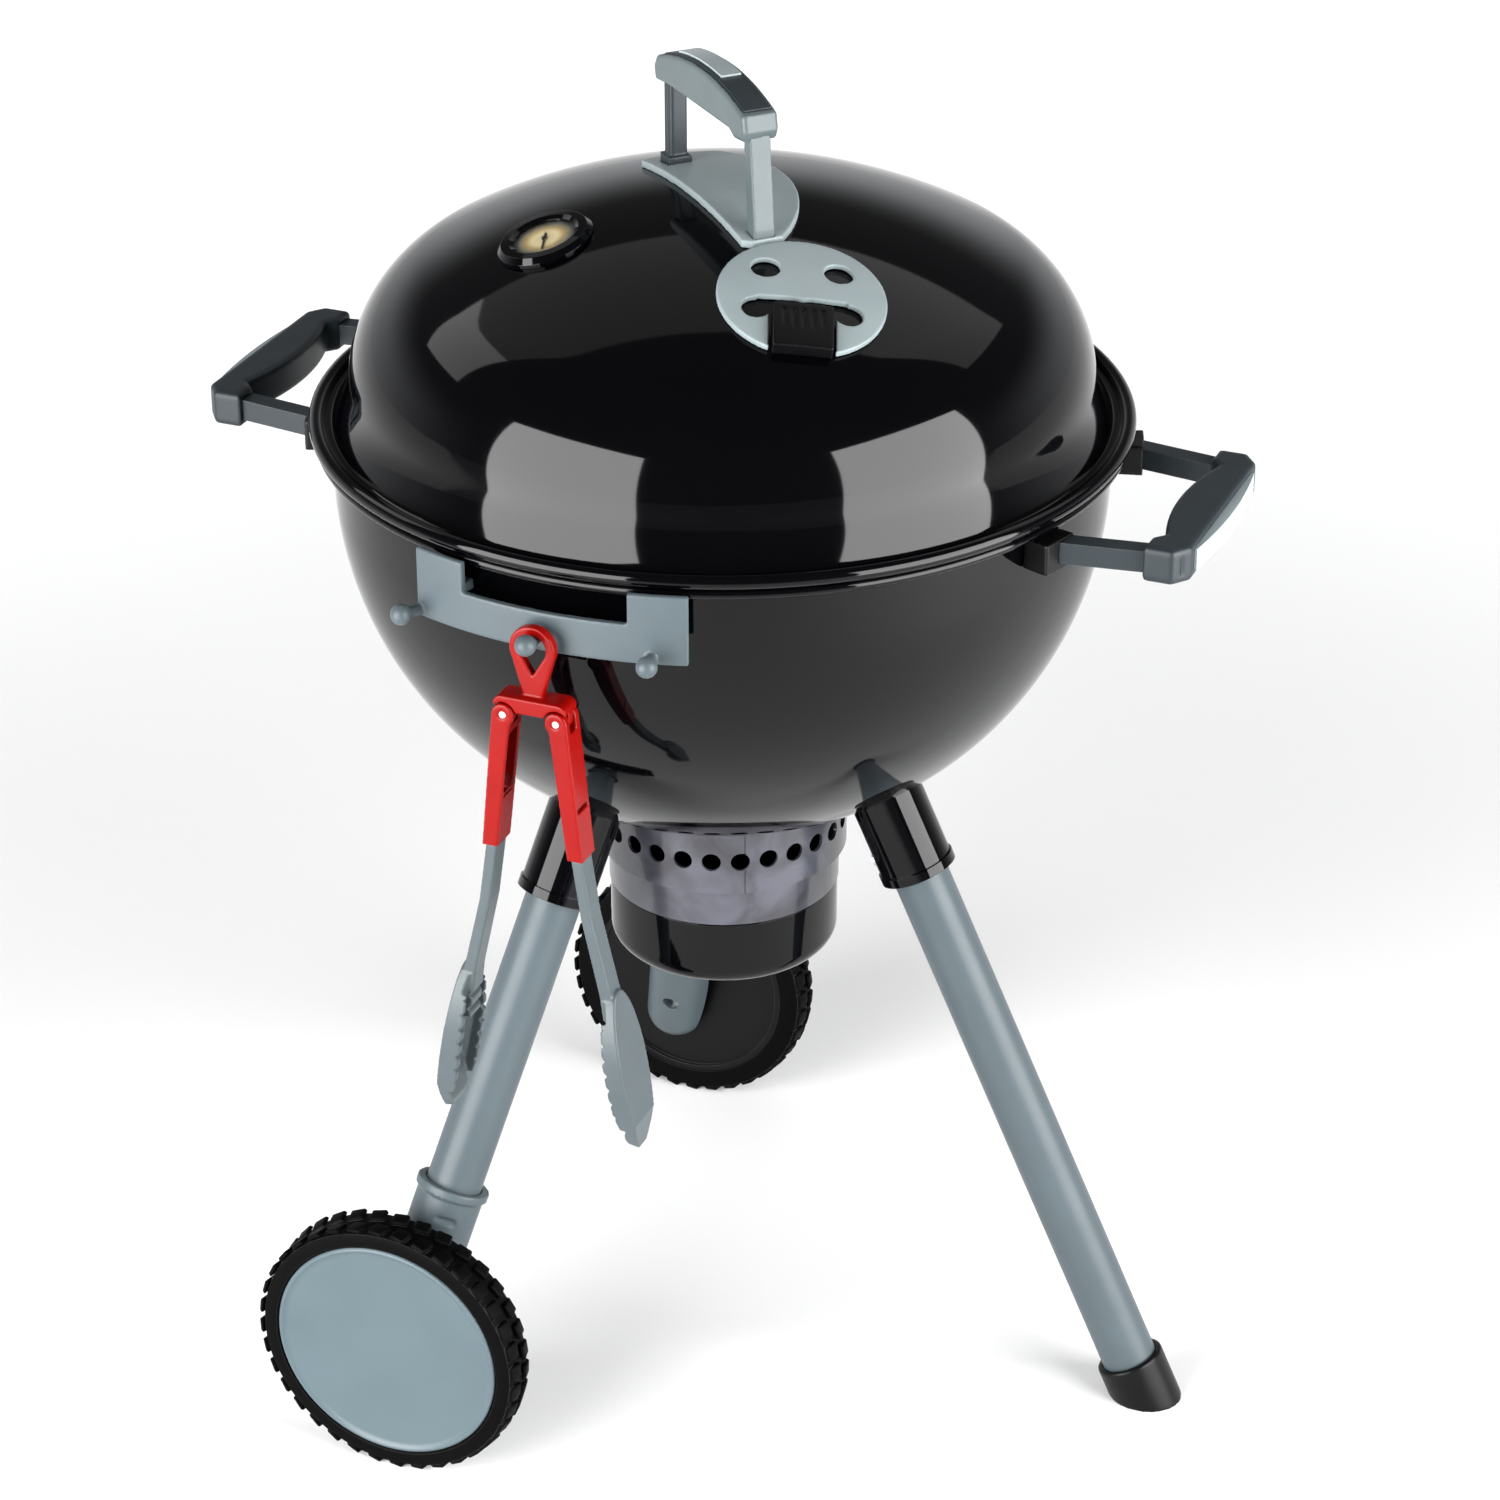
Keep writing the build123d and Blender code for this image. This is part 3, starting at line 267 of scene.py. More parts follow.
# turned shells: one rule, an outline turned about an upright axis
def turningTree():
    tree = bpy.data.node_groups.new("turnOutline", "GeometryNodeTree")
    face = tree.interface
    face.new_socket("Outline", in_out="INPUT", socket_type="NodeSocketGeometry")
    face.new_socket("Steps round", in_out="INPUT", socket_type="NodeSocketInt")
    face.new_socket("Axis Y", in_out="INPUT", socket_type="NodeSocketFloat")
    face.new_socket("Sharp angle", in_out="INPUT", socket_type="NodeSocketFloat")
    face.new_socket("Finish", in_out="INPUT", socket_type="NodeSocketMaterial")
    face.new_socket("Shell", in_out="OUTPUT", socket_type="NodeSocketGeometry")
    given = addNode(tree, "NodeGroupInput").outputs
    count = addNode(tree, "GeometryNodeAttributeDomainSize", {},
                    {"Geometry": given["Outline"]}).outputs["Point Count"]
    steps = given["Steps round"]
    ring = addNode(tree, "ShaderNodeMath", {"operation": "ADD", 1: 1.0}, {0: steps}).outputs[0]
    sheet = addNode(tree, "GeometryNodeMeshGrid", {"Size X": 1.0, "Size Y": 1.0},
                    {"Vertices X": count, "Vertices Y": ring}).outputs["Mesh"]
    index = addNode(tree, "GeometryNodeInputIndex").outputs[0]
    share = addNode(tree, "ShaderNodeMath", {"operation": "DIVIDE"}, {0: index, 1: ring}).outputs[0]
    whole = addNode(tree, "ShaderNodeMath", {"operation": "FLOOR"}, {0: share}).outputs[0]
    part = addNode(tree, "ShaderNodeMath", {"operation": "MODULO"}, {0: index, 1: ring}).outputs[0]
    position = addNode(tree, "GeometryNodeInputPosition").outputs[0]
    spot = addNode(tree, "GeometryNodeSampleIndex", {"data_type": "FLOAT_VECTOR", "domain": "POINT"},
                   {"Geometry": given["Outline"], "Value": position, "Index": whole}).outputs["Value"]
    angle = addNode(tree, "ShaderNodeMath", {"operation": "DIVIDE"}, {0: part, 1: steps}).outputs[0]
    angle = addNode(tree, "ShaderNodeMath", {"operation": "MULTIPLY", 1: math.tau}, {0: angle}).outputs[0]
    spun = addNode(tree, "ShaderNodeVectorRotate", {"rotation_type": "Z_AXIS"},
                   {"Vector": spot, "Angle": angle})
    offset = addNode(tree, "ShaderNodeCombineXYZ", {}, {"Y": given["Axis Y"]}).outputs[0]
    moved = addNode(tree, "ShaderNodeVectorMath", {"operation": "ADD"},
                    {0: spun.outputs[0], 1: offset}).outputs[0]
    shell = addNode(tree, "GeometryNodeSetPosition", {}, {"Geometry": sheet, "Position": moved}).outputs[0]
    shell = addNode(tree, "GeometryNodeMergeByDistance", {"Distance": 0.004 * mm},
                    {"Geometry": shell}).outputs[0]
    bend = addNode(tree, "GeometryNodeInputMeshEdgeAngle").outputs["Unsigned Angle"]
    gentle = addNode(tree, "ShaderNodeMath", {"operation": "LESS_THAN"},
                     {0: bend, 1: given["Sharp angle"]}).outputs[0]
    shell = addNode(tree, "GeometryNodeSetShadeSmooth", {"domain": "FACE"}, {"Geometry": shell}).outputs[0]
    shell = addNode(tree, "GeometryNodeSetShadeSmooth", {"domain": "EDGE"},
                    {"Geometry": shell, "Shade Smooth": gentle}).outputs[0]
    shell = addNode(tree, "GeometryNodeRealizeInstances", {}, {"Geometry": shell}).outputs[0]
    shell = addNode(tree, "GeometryNodeSetMaterial", {},
                    {"Geometry": shell, "Material": given["Finish"]}).outputs[0]
    addNode(tree, "NodeGroupOutput", {}, {"Shell": shell})
    return tree


def runTree(name, mesh, tree, inputs, material):
    # the tree's result as a plain mesh, with the modifier gone
    holder = bpy.data.objects.new(name + "Source", mesh)
    scene.collection.objects.link(holder)
    modifier = holder.modifiers.new("nodes", "NODES")
    modifier.node_group = tree
    sockets = {item.name: item.identifier for item in tree.interface.items_tree if item.in_out == "INPUT"}
    for key, value in inputs.items():
        modifier[sockets[key]] = value
    bpy.context.view_layer.update()
    depsgraph = bpy.context.evaluated_depsgraph_get()
    result = bpy.data.meshes.new_from_object(holder.evaluated_get(depsgraph), depsgraph=depsgraph)
    result.name = name
    bpy.data.objects.remove(holder)
    return meshPiece(name, result, material)


turnOutline = turningTree()


def arcPoints(centre, radius, start, end, steps):
    turns = [math.radians(start + (end - start) * i / steps) for i in range(steps + 1)]
    return [(centre[0] + radius * math.cos(a), centre[1] + radius * math.sin(a)) for a in turns]


def turnedShell(name, outline, material, steps=160, sharp=32.0):
    # outline is a closed run of (radius, height) in mm
    points = [(max(r, 0.0) * mm, 0.0, z * mm) for r, z in outline + outline[:1]]
    mesh = bpy.data.meshes.new(name + "Outline")
    mesh.from_pydata(points, [(i, i + 1) for i in range(len(points) - 1)], [])
    shell = runTree(name, mesh, turnOutline, {"Steps round": steps, "Axis Y": axisY,
                                              "Sharp angle": math.radians(sharp),
                                              "Finish": material}, material)
    work = bmesh.new()
    work.from_mesh(shell.data)
    bmesh.ops.remove_doubles(work, verts=work.verts, dist=0.004 * mm)
    bmesh.ops.recalc_face_normals(work, faces=work.faces)
    work.to_mesh(shell.data)
    work.free()
    return shell


# sizes in mm and degrees: the bowl and the lid are each two arcs that meet smoothly above a tapered skirt
kettle = dict(
    rim=182.4, seat=470.2, lap=0.3,
    bowlWall=2.6, bowlTaper=3.3, bowlSkirtZ=440.8, bowlSkirtR=172.0, bowlArc=166.0, bottomArc=178.0,
    bowlBeadR=2.3, bowlBeadAt=(177.9, 467.9), bowlNeckZ=466.4,
    lidWall=2.4, lidTaper=4.93, lidSkirtZ=494.1, lidSkirtR=164.3, shoulderArc=63.4, crownArc=278.6,
    lipZ=463.5, lidBeadR=3.4, flareHigh=20.6, flare=0.013, flareSteps=12)


def bowlCurve(inset, top):
    k = kettle
    t = math.radians(k["bowlTaper"])
    centre = (k["bowlSkirtR"] - k["bowlArc"] * math.cos(t), k["bowlSkirtZ"] + k["bowlArc"] * math.sin(t))
    low = (0.0, centre[1] + math.sqrt((k["bottomArc"] - k["bowlArc"]) ** 2 - centre[0] ** 2))
    join = math.degrees(math.atan2(centre[1] - low[1], centre[0]))
    wall = arcPoints(centre, k["bowlArc"] - inset, -k["bowlTaper"], join, 34)
    base = arcPoints(low, k["bottomArc"] - inset, join, -90.0, 26)
    head = (wall[0][0] + (top - wall[0][1]) * math.tan(t), top)
    return [head] + wall + base[1:]


def lidCurve(inset, low):
    k = kettle
    t = math.radians(k["lidTaper"])
    side = (k["lidSkirtR"] - k["shoulderArc"] * math.cos(t), k["lidSkirtZ"] - k["shoulderArc"] * math.sin(t))
    crown = (0.0, side[1] - math.sqrt((k["crownArc"] - k["shoulderArc"]) ** 2 - side[0] ** 2))
    join = math.degrees(math.atan2(side[1] - crown[1], side[0]))
    shoulder = arcPoints(side, k["shoulderArc"] - inset, k["lidTaper"], join, 22)
    top = arcPoints(crown, k["crownArc"] - inset, join, 90.0, 42)
    foot = (shoulder[0][0] + (shoulder[0][1] - low) * math.tan(t), low)
    return [foot] + shoulder + top[1:]


def makeBowl():
    k = kettle
    outside, inside = bowlCurve(0, k["bowlNeckZ"]), bowlCurve(k["bowlWall"], k["seat"])
    bead = arcPoints(k["bowlBeadAt"], k["bowlBeadR"], -150.0, 90.0, 14)
    neck = [(k["bowlSkirtR"] + out, k["bowlNeckZ"] - down) for out, down in ((2.2, 0.2), (0.9, 1.2))]
    outline = inside[::-1] + [(k["bowlSkirtR"] + 2.0, k["seat"])] + bead[::-1] + neck + outside[1:]
    return turnedShell("bowl_shell", outline, finish["polishedBlackAbs"])


def makeLid():
    k = kettle
    low = k["seat"] + k["lap"]
    inside = lidCurve(k["lidWall"], k["lipZ"])
    lip = inside[0][0] + k["lidWall"]
    bead = arcPoints((k["rim"] - k["lidBeadR"], low + k["lidBeadR"]), k["lidBeadR"], -90.0, 150.0, 18)
    groove = [(k["rim"] - back, low + up) for back, up in ((7.2, 2.7), (9.0, 2.4), (10.2, 2.6))]
    ring = [(lip, k["lipZ"]), (lip + 0.3, low)] + bead + groove
    flare = []
    for step in range(k["flareSteps"]):      # the skirt bells out towards the rim
        down = k["flareHigh"] * (1 - step / k["flareSteps"])
        flare.append((k["lidSkirtR"] + down * math.tan(math.radians(k["lidTaper"])) + k["flare"] * down ** 2,
                      k["lidSkirtZ"] - down))
    dome = lidCurve(0, k["lidSkirtZ"])[1:]
    return turnedShell("lid_dome", inside[::-1] + ring + flare + dome, finish["polishedBlackAbs"])


ashCup = dict(outer=52.9, low=207.0, top=240.3, collar=51.6, collarHigh=5.0, wall=1.8, corner=9.0, floor=2.0)


def makeCup():
    c = ashCup
    outer, low, top, corner = c["outer"], c["low"], c["top"], c["corner"]
    rim, collar, inner = top + c["collarHigh"], c["collar"], c["collar"] - c["wall"]
    hollow = corner - c["floor"]
    outline = ([(0, low), (outer - corner, low)]
               + arcPoints((outer - corner, low + corner), corner, -90, 0, 10)[1:]
               + [(outer, top - 0.6), (outer - 0.6, top), (collar, top), (collar, rim - 0.4),
                  (collar - 0.4, rim),
                  (inner, rim)]
               + arcPoints((inner - hollow, low + corner), hollow, 0, -90, 8) + [(0, low + c["floor"])])
    return turnedShell("ash_cup_shell", outline, finish["polishedBlackAbs"], steps=128)


bowlShell = makeBowl()
lidDome = makeLid()
cupShell = makeCup()
print("turned shells: bowl, lid and cup")


# rounded plastic: a CAD solid's edges are rounded off as they come out of a mould
roundedPieces = {      # node: (finish, voxel in mm, smoothing passes)
    "tongs_head": ("glossRedAbs", 0.45, 8),
    "tongs_sleeve_left": ("glossRedAbs", 0.5, 8),
    "tongs_sleeve_right": ("glossRedAbs", 0.5, 8),
    "tongs_blade_left": ("satinGreyNylon", 0.5, 8),
    "tongs_blade_right": ("satinGreyNylon", 0.5, 8),
    "tool_holder": ("satinBlueGreyPp", 0.55, 6),
    "handle_grip_right": ("sparkSlatePp", 0.8, 4),
    "handle_grip_left": ("sparkSlatePp", 0.8, 4),
    "handle_roots_right": ("mattBlackPp", 0.6, 5),
    "handle_roots_left": ("mattBlackPp", 0.6, 5),
    "lid_grip": ("satinGreyPp", 0.6, 4),
    "lid_grip_inlay": ("sparkSlatePp", 0.5, 3),
    "lid_rear_post": ("sparkSlatePp", 0.5, 4),
    "lid_front_post": ("satinGreyPp", 0.5, 4),
    "lid_heat_shield": ("paleGreyPp", 0.5, 3),
    "damper_disc": ("paleGreyPp", 0.45, 4),
    "damper_tab": ("mattBlackPp", 0.45, 3),
    "foot_cap": ("mattBlackPp", 0.6, 5),
    "wheel_bracket_front": ("satinBlueGreyPp", 0.7, 5),
    "wheel_bracket_rear": ("satinBlueGreyPp", 0.7, 5),
}
slotOf = {row["node"]: row["material_slot"] for row in frame["record"]["subparts"]}
bodyOf = {name: body for body, names in frame["record"]["behaviour"]["bodies"].items() for name in names}


def roundedPiece(node, material, voxelMm, passes):
    mesh = nodes[node].data.copy()
    work = bmesh.new()
    work.from_mesh(mesh)
    bmesh.ops.remove_doubles(work, verts=work.verts, dist=0.002 * mm)
    work.to_mesh(mesh)
    work.free()
    holder = bpy.data.objects.new(node + "Source", mesh)
    scene.collection.objects.link(holder)
    remesh = holder.modifiers.new("remesh", "REMESH")
    remesh.mode, remesh.voxel_size, remesh.use_smooth_shade = "VOXEL", voxelMm * mm, True
    smooth = holder.modifiers.new("smooth", "SMOOTH")
    smooth.factor, smooth.iterations = 0.5, passes
    depsgraph = bpy.context.evaluated_depsgraph_get()
    result = bpy.data.meshes.new_from_object(holder.evaluated_get(depsgraph), depsgraph=depsgraph)
    result.name = node + "_rounded"
    bpy.data.objects.remove(holder)
    return meshPiece(node + "_rounded", result, material)


for node, (finishName, voxelMm, passes) in roundedPieces.items():
    piece = roundedPiece(node, finish[finishName], voxelMm, passes)
    place(piece, bodyOf[node], slotOf[node], node)
print("rounded pieces:", len(roundedPieces))


# the dial under the lens, with plain rings of colour
dialFacts = dict(rings=((0.42, "#d8c99a"), (0.60, "#a98a52"), (0.78, "#6e6f5e"), (0.90, "#1c1b18")),
                 middle="#c9b98a", reachMm=14.0, inkMm=0.6, crownZ=298.7)


def dialMaterial(centre, normal):
    # printed polystyrene disc: flat cream and brown rings with a slightly uneven ink edge
    material, tree = newMaterial("printedDial")
    where = addNode(tree, "ShaderNodeTexCoord").outputs["Object"]
    out = addNode(tree, "ShaderNodeVectorMath", {"operation": "SUBTRACT", 1: centre}, {0: where}).outputs[0]
    lift = addNode(tree, "ShaderNodeVectorMath", {"operation": "DOT_PRODUCT", 1: normal},
                   {0: out}).outputs["Value"]
    up = addNode(tree, "ShaderNodeVectorMath", {"operation": "SCALE", 0: normal}, {"Scale": lift}).outputs[0]
    flat = addNode(tree, "ShaderNodeVectorMath", {"operation": "SUBTRACT"}, {0: out, 1: up}).outputs[0]
    reach = addNode(tree, "ShaderNodeVectorMath", {"operation": "LENGTH"}, {0: flat}).outputs["Value"]
    ink = addNode(tree, "ShaderNodeTexNoise", {"Scale": 900.0}, {"Vector": where}).outputs["Fac"]
    wander = addNode(tree, "ShaderNodeMath", {"operation": "MULTIPLY_ADD", 1: dialFacts["inkMm"] * mm,
                                                2: -0.5 * dialFacts["inkMm"] * mm}, {0: ink}).outputs[0]
    reach = addNode(tree, "ShaderNodeMath", {"operation": "ADD"}, {0: reach, 1: wander}).outputs[0]
    ramp = addNode(tree, "ShaderNodeValToRGB", {}, {"Fac": addNode(
        tree, "ShaderNodeMapRange", {"From Min": 0.0, "From Max": dialFacts["reachMm"] * mm},
        {"Value": reach}).outputs["Result"]})
    first, last = ramp.color_ramp.elements
    border, borderShade = dialFacts["rings"][-1]
    first.color, last.position, last.color = linear(dialFacts["middle"]), border, linear(borderShade)
    for spot, shade in dialFacts["rings"][:-1]:
        ramp.color_ramp.elements.new(spot).color = linear(shade)
    shader = addNode(tree, "ShaderNodeBsdfPrincipled", {"Roughness": 0.4},
                     {"Base Color": ramp.outputs["Color"]})
    addNode(tree, "ShaderNodeOutputMaterial", {}, {"Surface": shader.outputs["BSDF"]})
    return material


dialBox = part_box("thermometer_dial")
dialCentre = (dialBox[0] + dialBox[1]) / 2
crownCentre = Vector((0.0, axisY, dialFacts["crownZ"] * mm))
nodes["thermometer_dial"].data.materials.clear()
nodes["thermometer_dial"].data.materials.append(dialMaterial(dialCentre,
                                                             (dialCentre - crownCentre).normalized()))


# wheels: a turned carcass, a moulded tread and a pale face disc
wheelFacts = dict(outer=64.5, half=9.8, tread=62.8, flank=60.2, bore=52.5, discSeat=54.9, disc=54.8,
                  discThick=3.4,
                  discSunk=1.2, lugs=36, lugLong=8.0, lugWide=7.8, lugHigh=1.9, rowOffset=5.5, midY=177.0,
                  axleX=-91.0, axleZ=64.5, steps=120)


def lugMesh():
    f = wheelFacts
    work = bmesh.new()
    bmesh.ops.create_cube(work, size=1.0)
    bmesh.ops.scale(work, vec=(f["lugLong"] * mm, f["lugWide"] * mm, f["lugHigh"] * mm), verts=work.verts)
    for vert in work.verts:      # narrower at the top, as it leaves its mould
        if vert.co.z > 0:
            vert.co.x *= 0.84
            vert.co.y *= 0.90
    bmesh.ops.bevel(work, geom=work.edges[:], offset=0.7 * mm, segments=2, profile=0.6, affect="EDGES")
    mesh = bpy.data.meshes.new("lug")
    work.to_mesh(mesh)
    work.free()
    return mesh


def treadTree():
    tree = bpy.data.node_groups.new("treadOfLugs", "GeometryNodeTree")
    face = tree.interface
    face.new_socket("Lug", in_out="INPUT", socket_type="NodeSocketGeometry")
    face.new_socket("Lugs round", in_out="INPUT", socket_type="NodeSocketInt")
    face.new_socket("Radius", in_out="INPUT", socket_type="NodeSocketFloat")
    face.new_socket("Row offset", in_out="INPUT", socket_type="NodeSocketFloat")
    face.new_socket("Finish", in_out="INPUT", socket_type="NodeSocketMaterial")
    face.new_socket("Tread", in_out="OUTPUT", socket_type="NodeSocketGeometry")
    given = addNode(tree, "NodeGroupInput").outputs
    rows = []
    index = addNode(tree, "GeometryNodeInputIndex").outputs[0]
    for side in (-1, 1):
        ring = addNode(tree, "GeometryNodeMeshLine", {}, {"Count": given["Lugs round"]}).outputs[0]
        shifted = addNode(tree, "ShaderNodeMath", {"operation": "ADD", 1: 0.25 * side}, {0: index}).outputs[0]
        share = addNode(tree, "ShaderNodeMath", {"operation": "DIVIDE"},
                        {0: shifted, 1: given["Lugs round"]}).outputs[0]
        turn = addNode(tree, "ShaderNodeMath", {"operation": "MULTIPLY", 1: math.tau}, {0: share}).outputs[0]
        out = addNode(tree, "ShaderNodeCombineXYZ", {}, {"Z": given["Radius"]}).outputs[0]
        spot = addNode(tree, "ShaderNodeVectorRotate", {"rotation_type": "Y_AXIS"},
                       {"Vector": out, "Angle": turn})
        shift = addNode(tree, "ShaderNodeMath", {"operation": "MULTIPLY", 1: float(side)},
                        {0: given["Row offset"]})
        across = addNode(tree, "ShaderNodeCombineXYZ", {}, {"Y": shift.outputs[0]}).outputs[0]
        spot = addNode(tree, "ShaderNodeVectorMath", {"operation": "ADD"},
                       {0: spot.outputs[0], 1: across}).outputs[0]
        ring = addNode(tree, "GeometryNodeSetPosition", {}, {"Geometry": ring, "Position": spot}).outputs[0]
        lean = addNode(tree, "ShaderNodeCombineXYZ", {"Z": 0.22 * side}, {"Y": turn}).outputs[0]
        row = addNode(tree, "GeometryNodeInstanceOnPoints", {},
                      {"Points": ring, "Instance": given["Lug"], "Rotation": lean}).outputs[0]
        rows.append(row)
    joined = tree.nodes.new("GeometryNodeJoinGeometry")
    for row in rows:
        tree.links.new(row, joined.inputs[0])
    tread = addNode(tree, "GeometryNodeRealizeInstances", {}, {"Geometry": joined.outputs[0]}).outputs[0]
    tread = addNode(tree, "GeometryNodeSetMaterial", {},
                    {"Geometry": tread, "Material": given["Finish"]}).outputs[0]
    addNode(tree, "NodeGroupOutput", {}, {"Tread": tread})
    return tree


treadOfLugs = treadTree()


def wheelPlace(side):
    f = wheelFacts
    turn = Matrix.Rotation(math.radians(-90 * side), 4, "X")      # the turned axis now points outboard
    return Matrix.Translation((f["axleX"] * mm, axisY + side * f["midY"] * mm, f["axleZ"] * mm)) @ turn \
        @ Matrix.Translation((0, -axisY, 0))


def joinMeshes(name, parts, material):
    work = bmesh.new()
    for part in parts:
        work.from_mesh(part.data)
        bpy.data.objects.remove(part)
    mesh = bpy.data.meshes.new(name)
    work.to_mesh(mesh)
    work.free()
    return meshPiece(name, mesh, material)


def makeWheel(name, side, body):
    f = wheelFacts
    h, r = f["half"], f["outer"]
    black = finish["knobblyBlackPvc"]
    t, d, seat = f["tread"], f["disc"], h - f["discThick"]
    carcass = turnedShell("carcass", [
        (f["bore"], -h), (f["flank"], -h), (t - 0.6, -h + 0.6), (t, -h + 2.0), (t, h - 2.0),
        (t - 0.6, h - 0.6),
        (f["flank"], h), (f["discSeat"] + 1.0, h), (f["discSeat"], h - 1.0), (f["discSeat"], seat),
        (f["bore"], seat)], black, steps=f["steps"])
    carcass.data.transform(wheelPlace(side))
    tread = runTree("tread", lugMesh(), treadOfLugs, {
        "Lugs round": f["lugs"], "Radius": (r - f["lugHigh"] / 2) * mm, "Row offset": f["rowOffset"] * mm,
        "Finish": black}, black)
    tread.data.transform(Matrix.Translation((f["axleX"] * mm, axisY + side * f["midY"] * mm,
                                             f["axleZ"] * mm)))
    tyre = joinMeshes(name + "_tyre_treaded", [carcass, tread], black)
    for polygon in tyre.data.polygons:
        polygon.use_smooth = True
    place(tyre, body, "tyre_black", "tyre_" + name)
    sunk = h - f["discSunk"]
    disc = turnedShell(name + "_face_disc", [(0, seat), (d, seat), (d, h - 0.6)]
                       + arcPoints((d - 1.2, h - 1.0), 1.2, 20, 150, 6)      # the raised edge bead
                       + [(d - 3.6, sunk + 0.3), (d - 4.6, sunk), (0, sunk)], finish["satinDiscPp"],
                       steps=f["steps"])
    disc.data.transform(wheelPlace(side))
    place(disc, body, "leg_grey", "wheel_disc_" + name)


makeWheel("front", -1, "front_wheel")
makeWheel("rear", 1, "rear_wheel")
print("wheels done")


# bars of the two grates
def barsTree():
    tree = bpy.data.node_groups.new("roundGrate", "GeometryNodeTree")
    face = tree.interface
    face.new_socket("Ring", in_out="INPUT", socket_type="NodeSocketGeometry")
    for label, kind in (("Bars", "Int"), ("Pitch", "Float"), ("Radius", "Float"), ("Bar radius", "Float"),
                        ("Height", "Float"), ("Axis Y", "Float"), ("Turn", "Float"), ("Finish", "Material")):
        face.new_socket(label, in_out="INPUT", socket_type="NodeSocket" + kind)
    face.new_socket("Grate", in_out="OUTPUT", socket_type="NodeSocketGeometry")
    given = addNode(tree, "NodeGroupInput").outputs
    line = addNode(tree, "GeometryNodeMeshLine", {}, {"Count": given["Bars"]}).outputs[0]
    index = addNode(tree, "GeometryNodeInputIndex").outputs[0]
    last = addNode(tree, "ShaderNodeMath", {"operation": "SUBTRACT", 1: 1.0}, {0: given["Bars"]}).outputs[0]
    half = addNode(tree, "ShaderNodeMath", {"operation": "MULTIPLY", 1: 0.5}, {0: last}).outputs[0]
    step = addNode(tree, "ShaderNodeMath", {"operation": "SUBTRACT"}, {0: index, 1: half}).outputs[0]
    x = addNode(tree, "ShaderNodeMath", {"operation": "MULTIPLY"}, {0: step, 1: given["Pitch"]}).outputs[0]
    spot = addNode(tree, "ShaderNodeCombineXYZ", {}, {"X": x}).outputs[0]
    line = addNode(tree, "GeometryNodeSetPosition", {}, {"Geometry": line, "Position": spot}).outputs[0]
    bar = addNode(tree, "GeometryNodeMeshCylinder", {"Vertices": 14, "Depth": 2.0},
                  {"Radius": given["Bar radius"]})
    position = addNode(tree, "GeometryNodeInputPosition").outputs[0]
    across = addNode(tree, "ShaderNodeSeparateXYZ", {}, {0: position}).outputs[0]
    square = addNode(tree, "ShaderNodeMath", {"operation": "MULTIPLY"}, {0: across, 1: across}).outputs[0]
    whole = addNode(tree, "ShaderNodeMath", {"operation": "MULTIPLY"},
                    {0: given["Radius"], 1: given["Radius"]})
    rest = addNode(tree, "ShaderNodeMath", {"operation": "SUBTRACT"},
                   {0: whole.outputs[0], 1: square}).outputs[0]
    reach = addNode(tree, "ShaderNodeMath", {"operation": "SQRT"}, {0: rest}).outputs[0]
    size = addNode(tree, "ShaderNodeCombineXYZ", {"X": 1.0, "Y": 1.0}, {"Z": reach}).outputs[0]
    bars = addNode(tree, "GeometryNodeInstanceOnPoints", {"Rotation": (math.pi / 2, 0, 0)},
                   {"Points": line, "Instance": bar.outputs["Mesh"], "Scale": size}).outputs[0]
    turn = addNode(tree, "ShaderNodeCombineXYZ", {}, {"Z": given["Turn"]}).outputs[0]
    shift = addNode(tree, "ShaderNodeCombineXYZ", {}, {"Y": given["Axis Y"], "Z": given["Height"]}).outputs[0]
    bars = addNode(tree, "GeometryNodeRealizeInstances", {}, {"Geometry": bars}).outputs[0]
    bars = addNode(tree, "GeometryNodeTransform", {},
                   {"Geometry": bars, "Translation": shift, "Rotation": turn})
    joined = tree.nodes.new("GeometryNodeJoinGeometry")
    for part in (given["Ring"], bars.outputs[0]):
        tree.links.new(part, joined.inputs[0])
    grate = addNode(tree, "GeometryNodeSetShadeSmooth", {}, {"Geometry": joined.outputs[0]}).outputs[0]
    grate = addNode(tree, "GeometryNodeRealizeInstances", {}, {"Geometry": grate}).outputs[0]
    grate = addNode(tree, "GeometryNodeSetMaterial", {},
                    {"Geometry": grate, "Material": given["Finish"]}).outputs[0]
    addNode(tree, "NodeGroupOutput", {}, {"Grate": grate})
    return tree


roundGrate = barsTree()
grates = {
    "cooking_grate": dict(name="grate_bars", bars=17, pitch=17.5, ring=151.0, z=450.0, turn=0.0),
    "charcoal_grate": dict(name="charcoal_grate_bars", bars=11, pitch=22.0, ring=127.0, z=348.0, turn=90.0),
}
wire = dict(ringMm=2.0, barMm=1.5)      # radii of the wires
for node, g in grates.items():
    ringPart = turnedShell("ring", arcPoints((g["ring"], g["z"]), wire["ringMm"], 0, 330, 11),
                           finish["satinGreyNylon"], steps=120)
    ringMesh = ringPart.data
    bpy.data.objects.remove(ringPart)
    piece = runTree(g["name"], ringMesh, roundGrate, {
        "Bars": g["bars"], "Pitch": g["pitch"] * mm, "Radius": g["ring"] * mm,
        "Bar radius": wire["barMm"] * mm,
        "Height": g["z"] * mm, "Axis Y": axisY, "Turn": math.radians(g["turn"]),
        "Finish": finish["satinGreyNylon"]}, finish["satinGreyNylon"])
    place(piece, bodyOf[node], slotOf[node], node)
print("grates done")


# charcoal: one moulded insert that looks like a heap of lumps
coalFacts = dict(radius=94.0, height=366.5, lumpMm=11.0, spacingMm=12.5, squash=0.74, seed=7,
                 tray=((0, 350.4), (103, 350.4), (106, 353), (106, 359), (100, 364), (0, 366)))


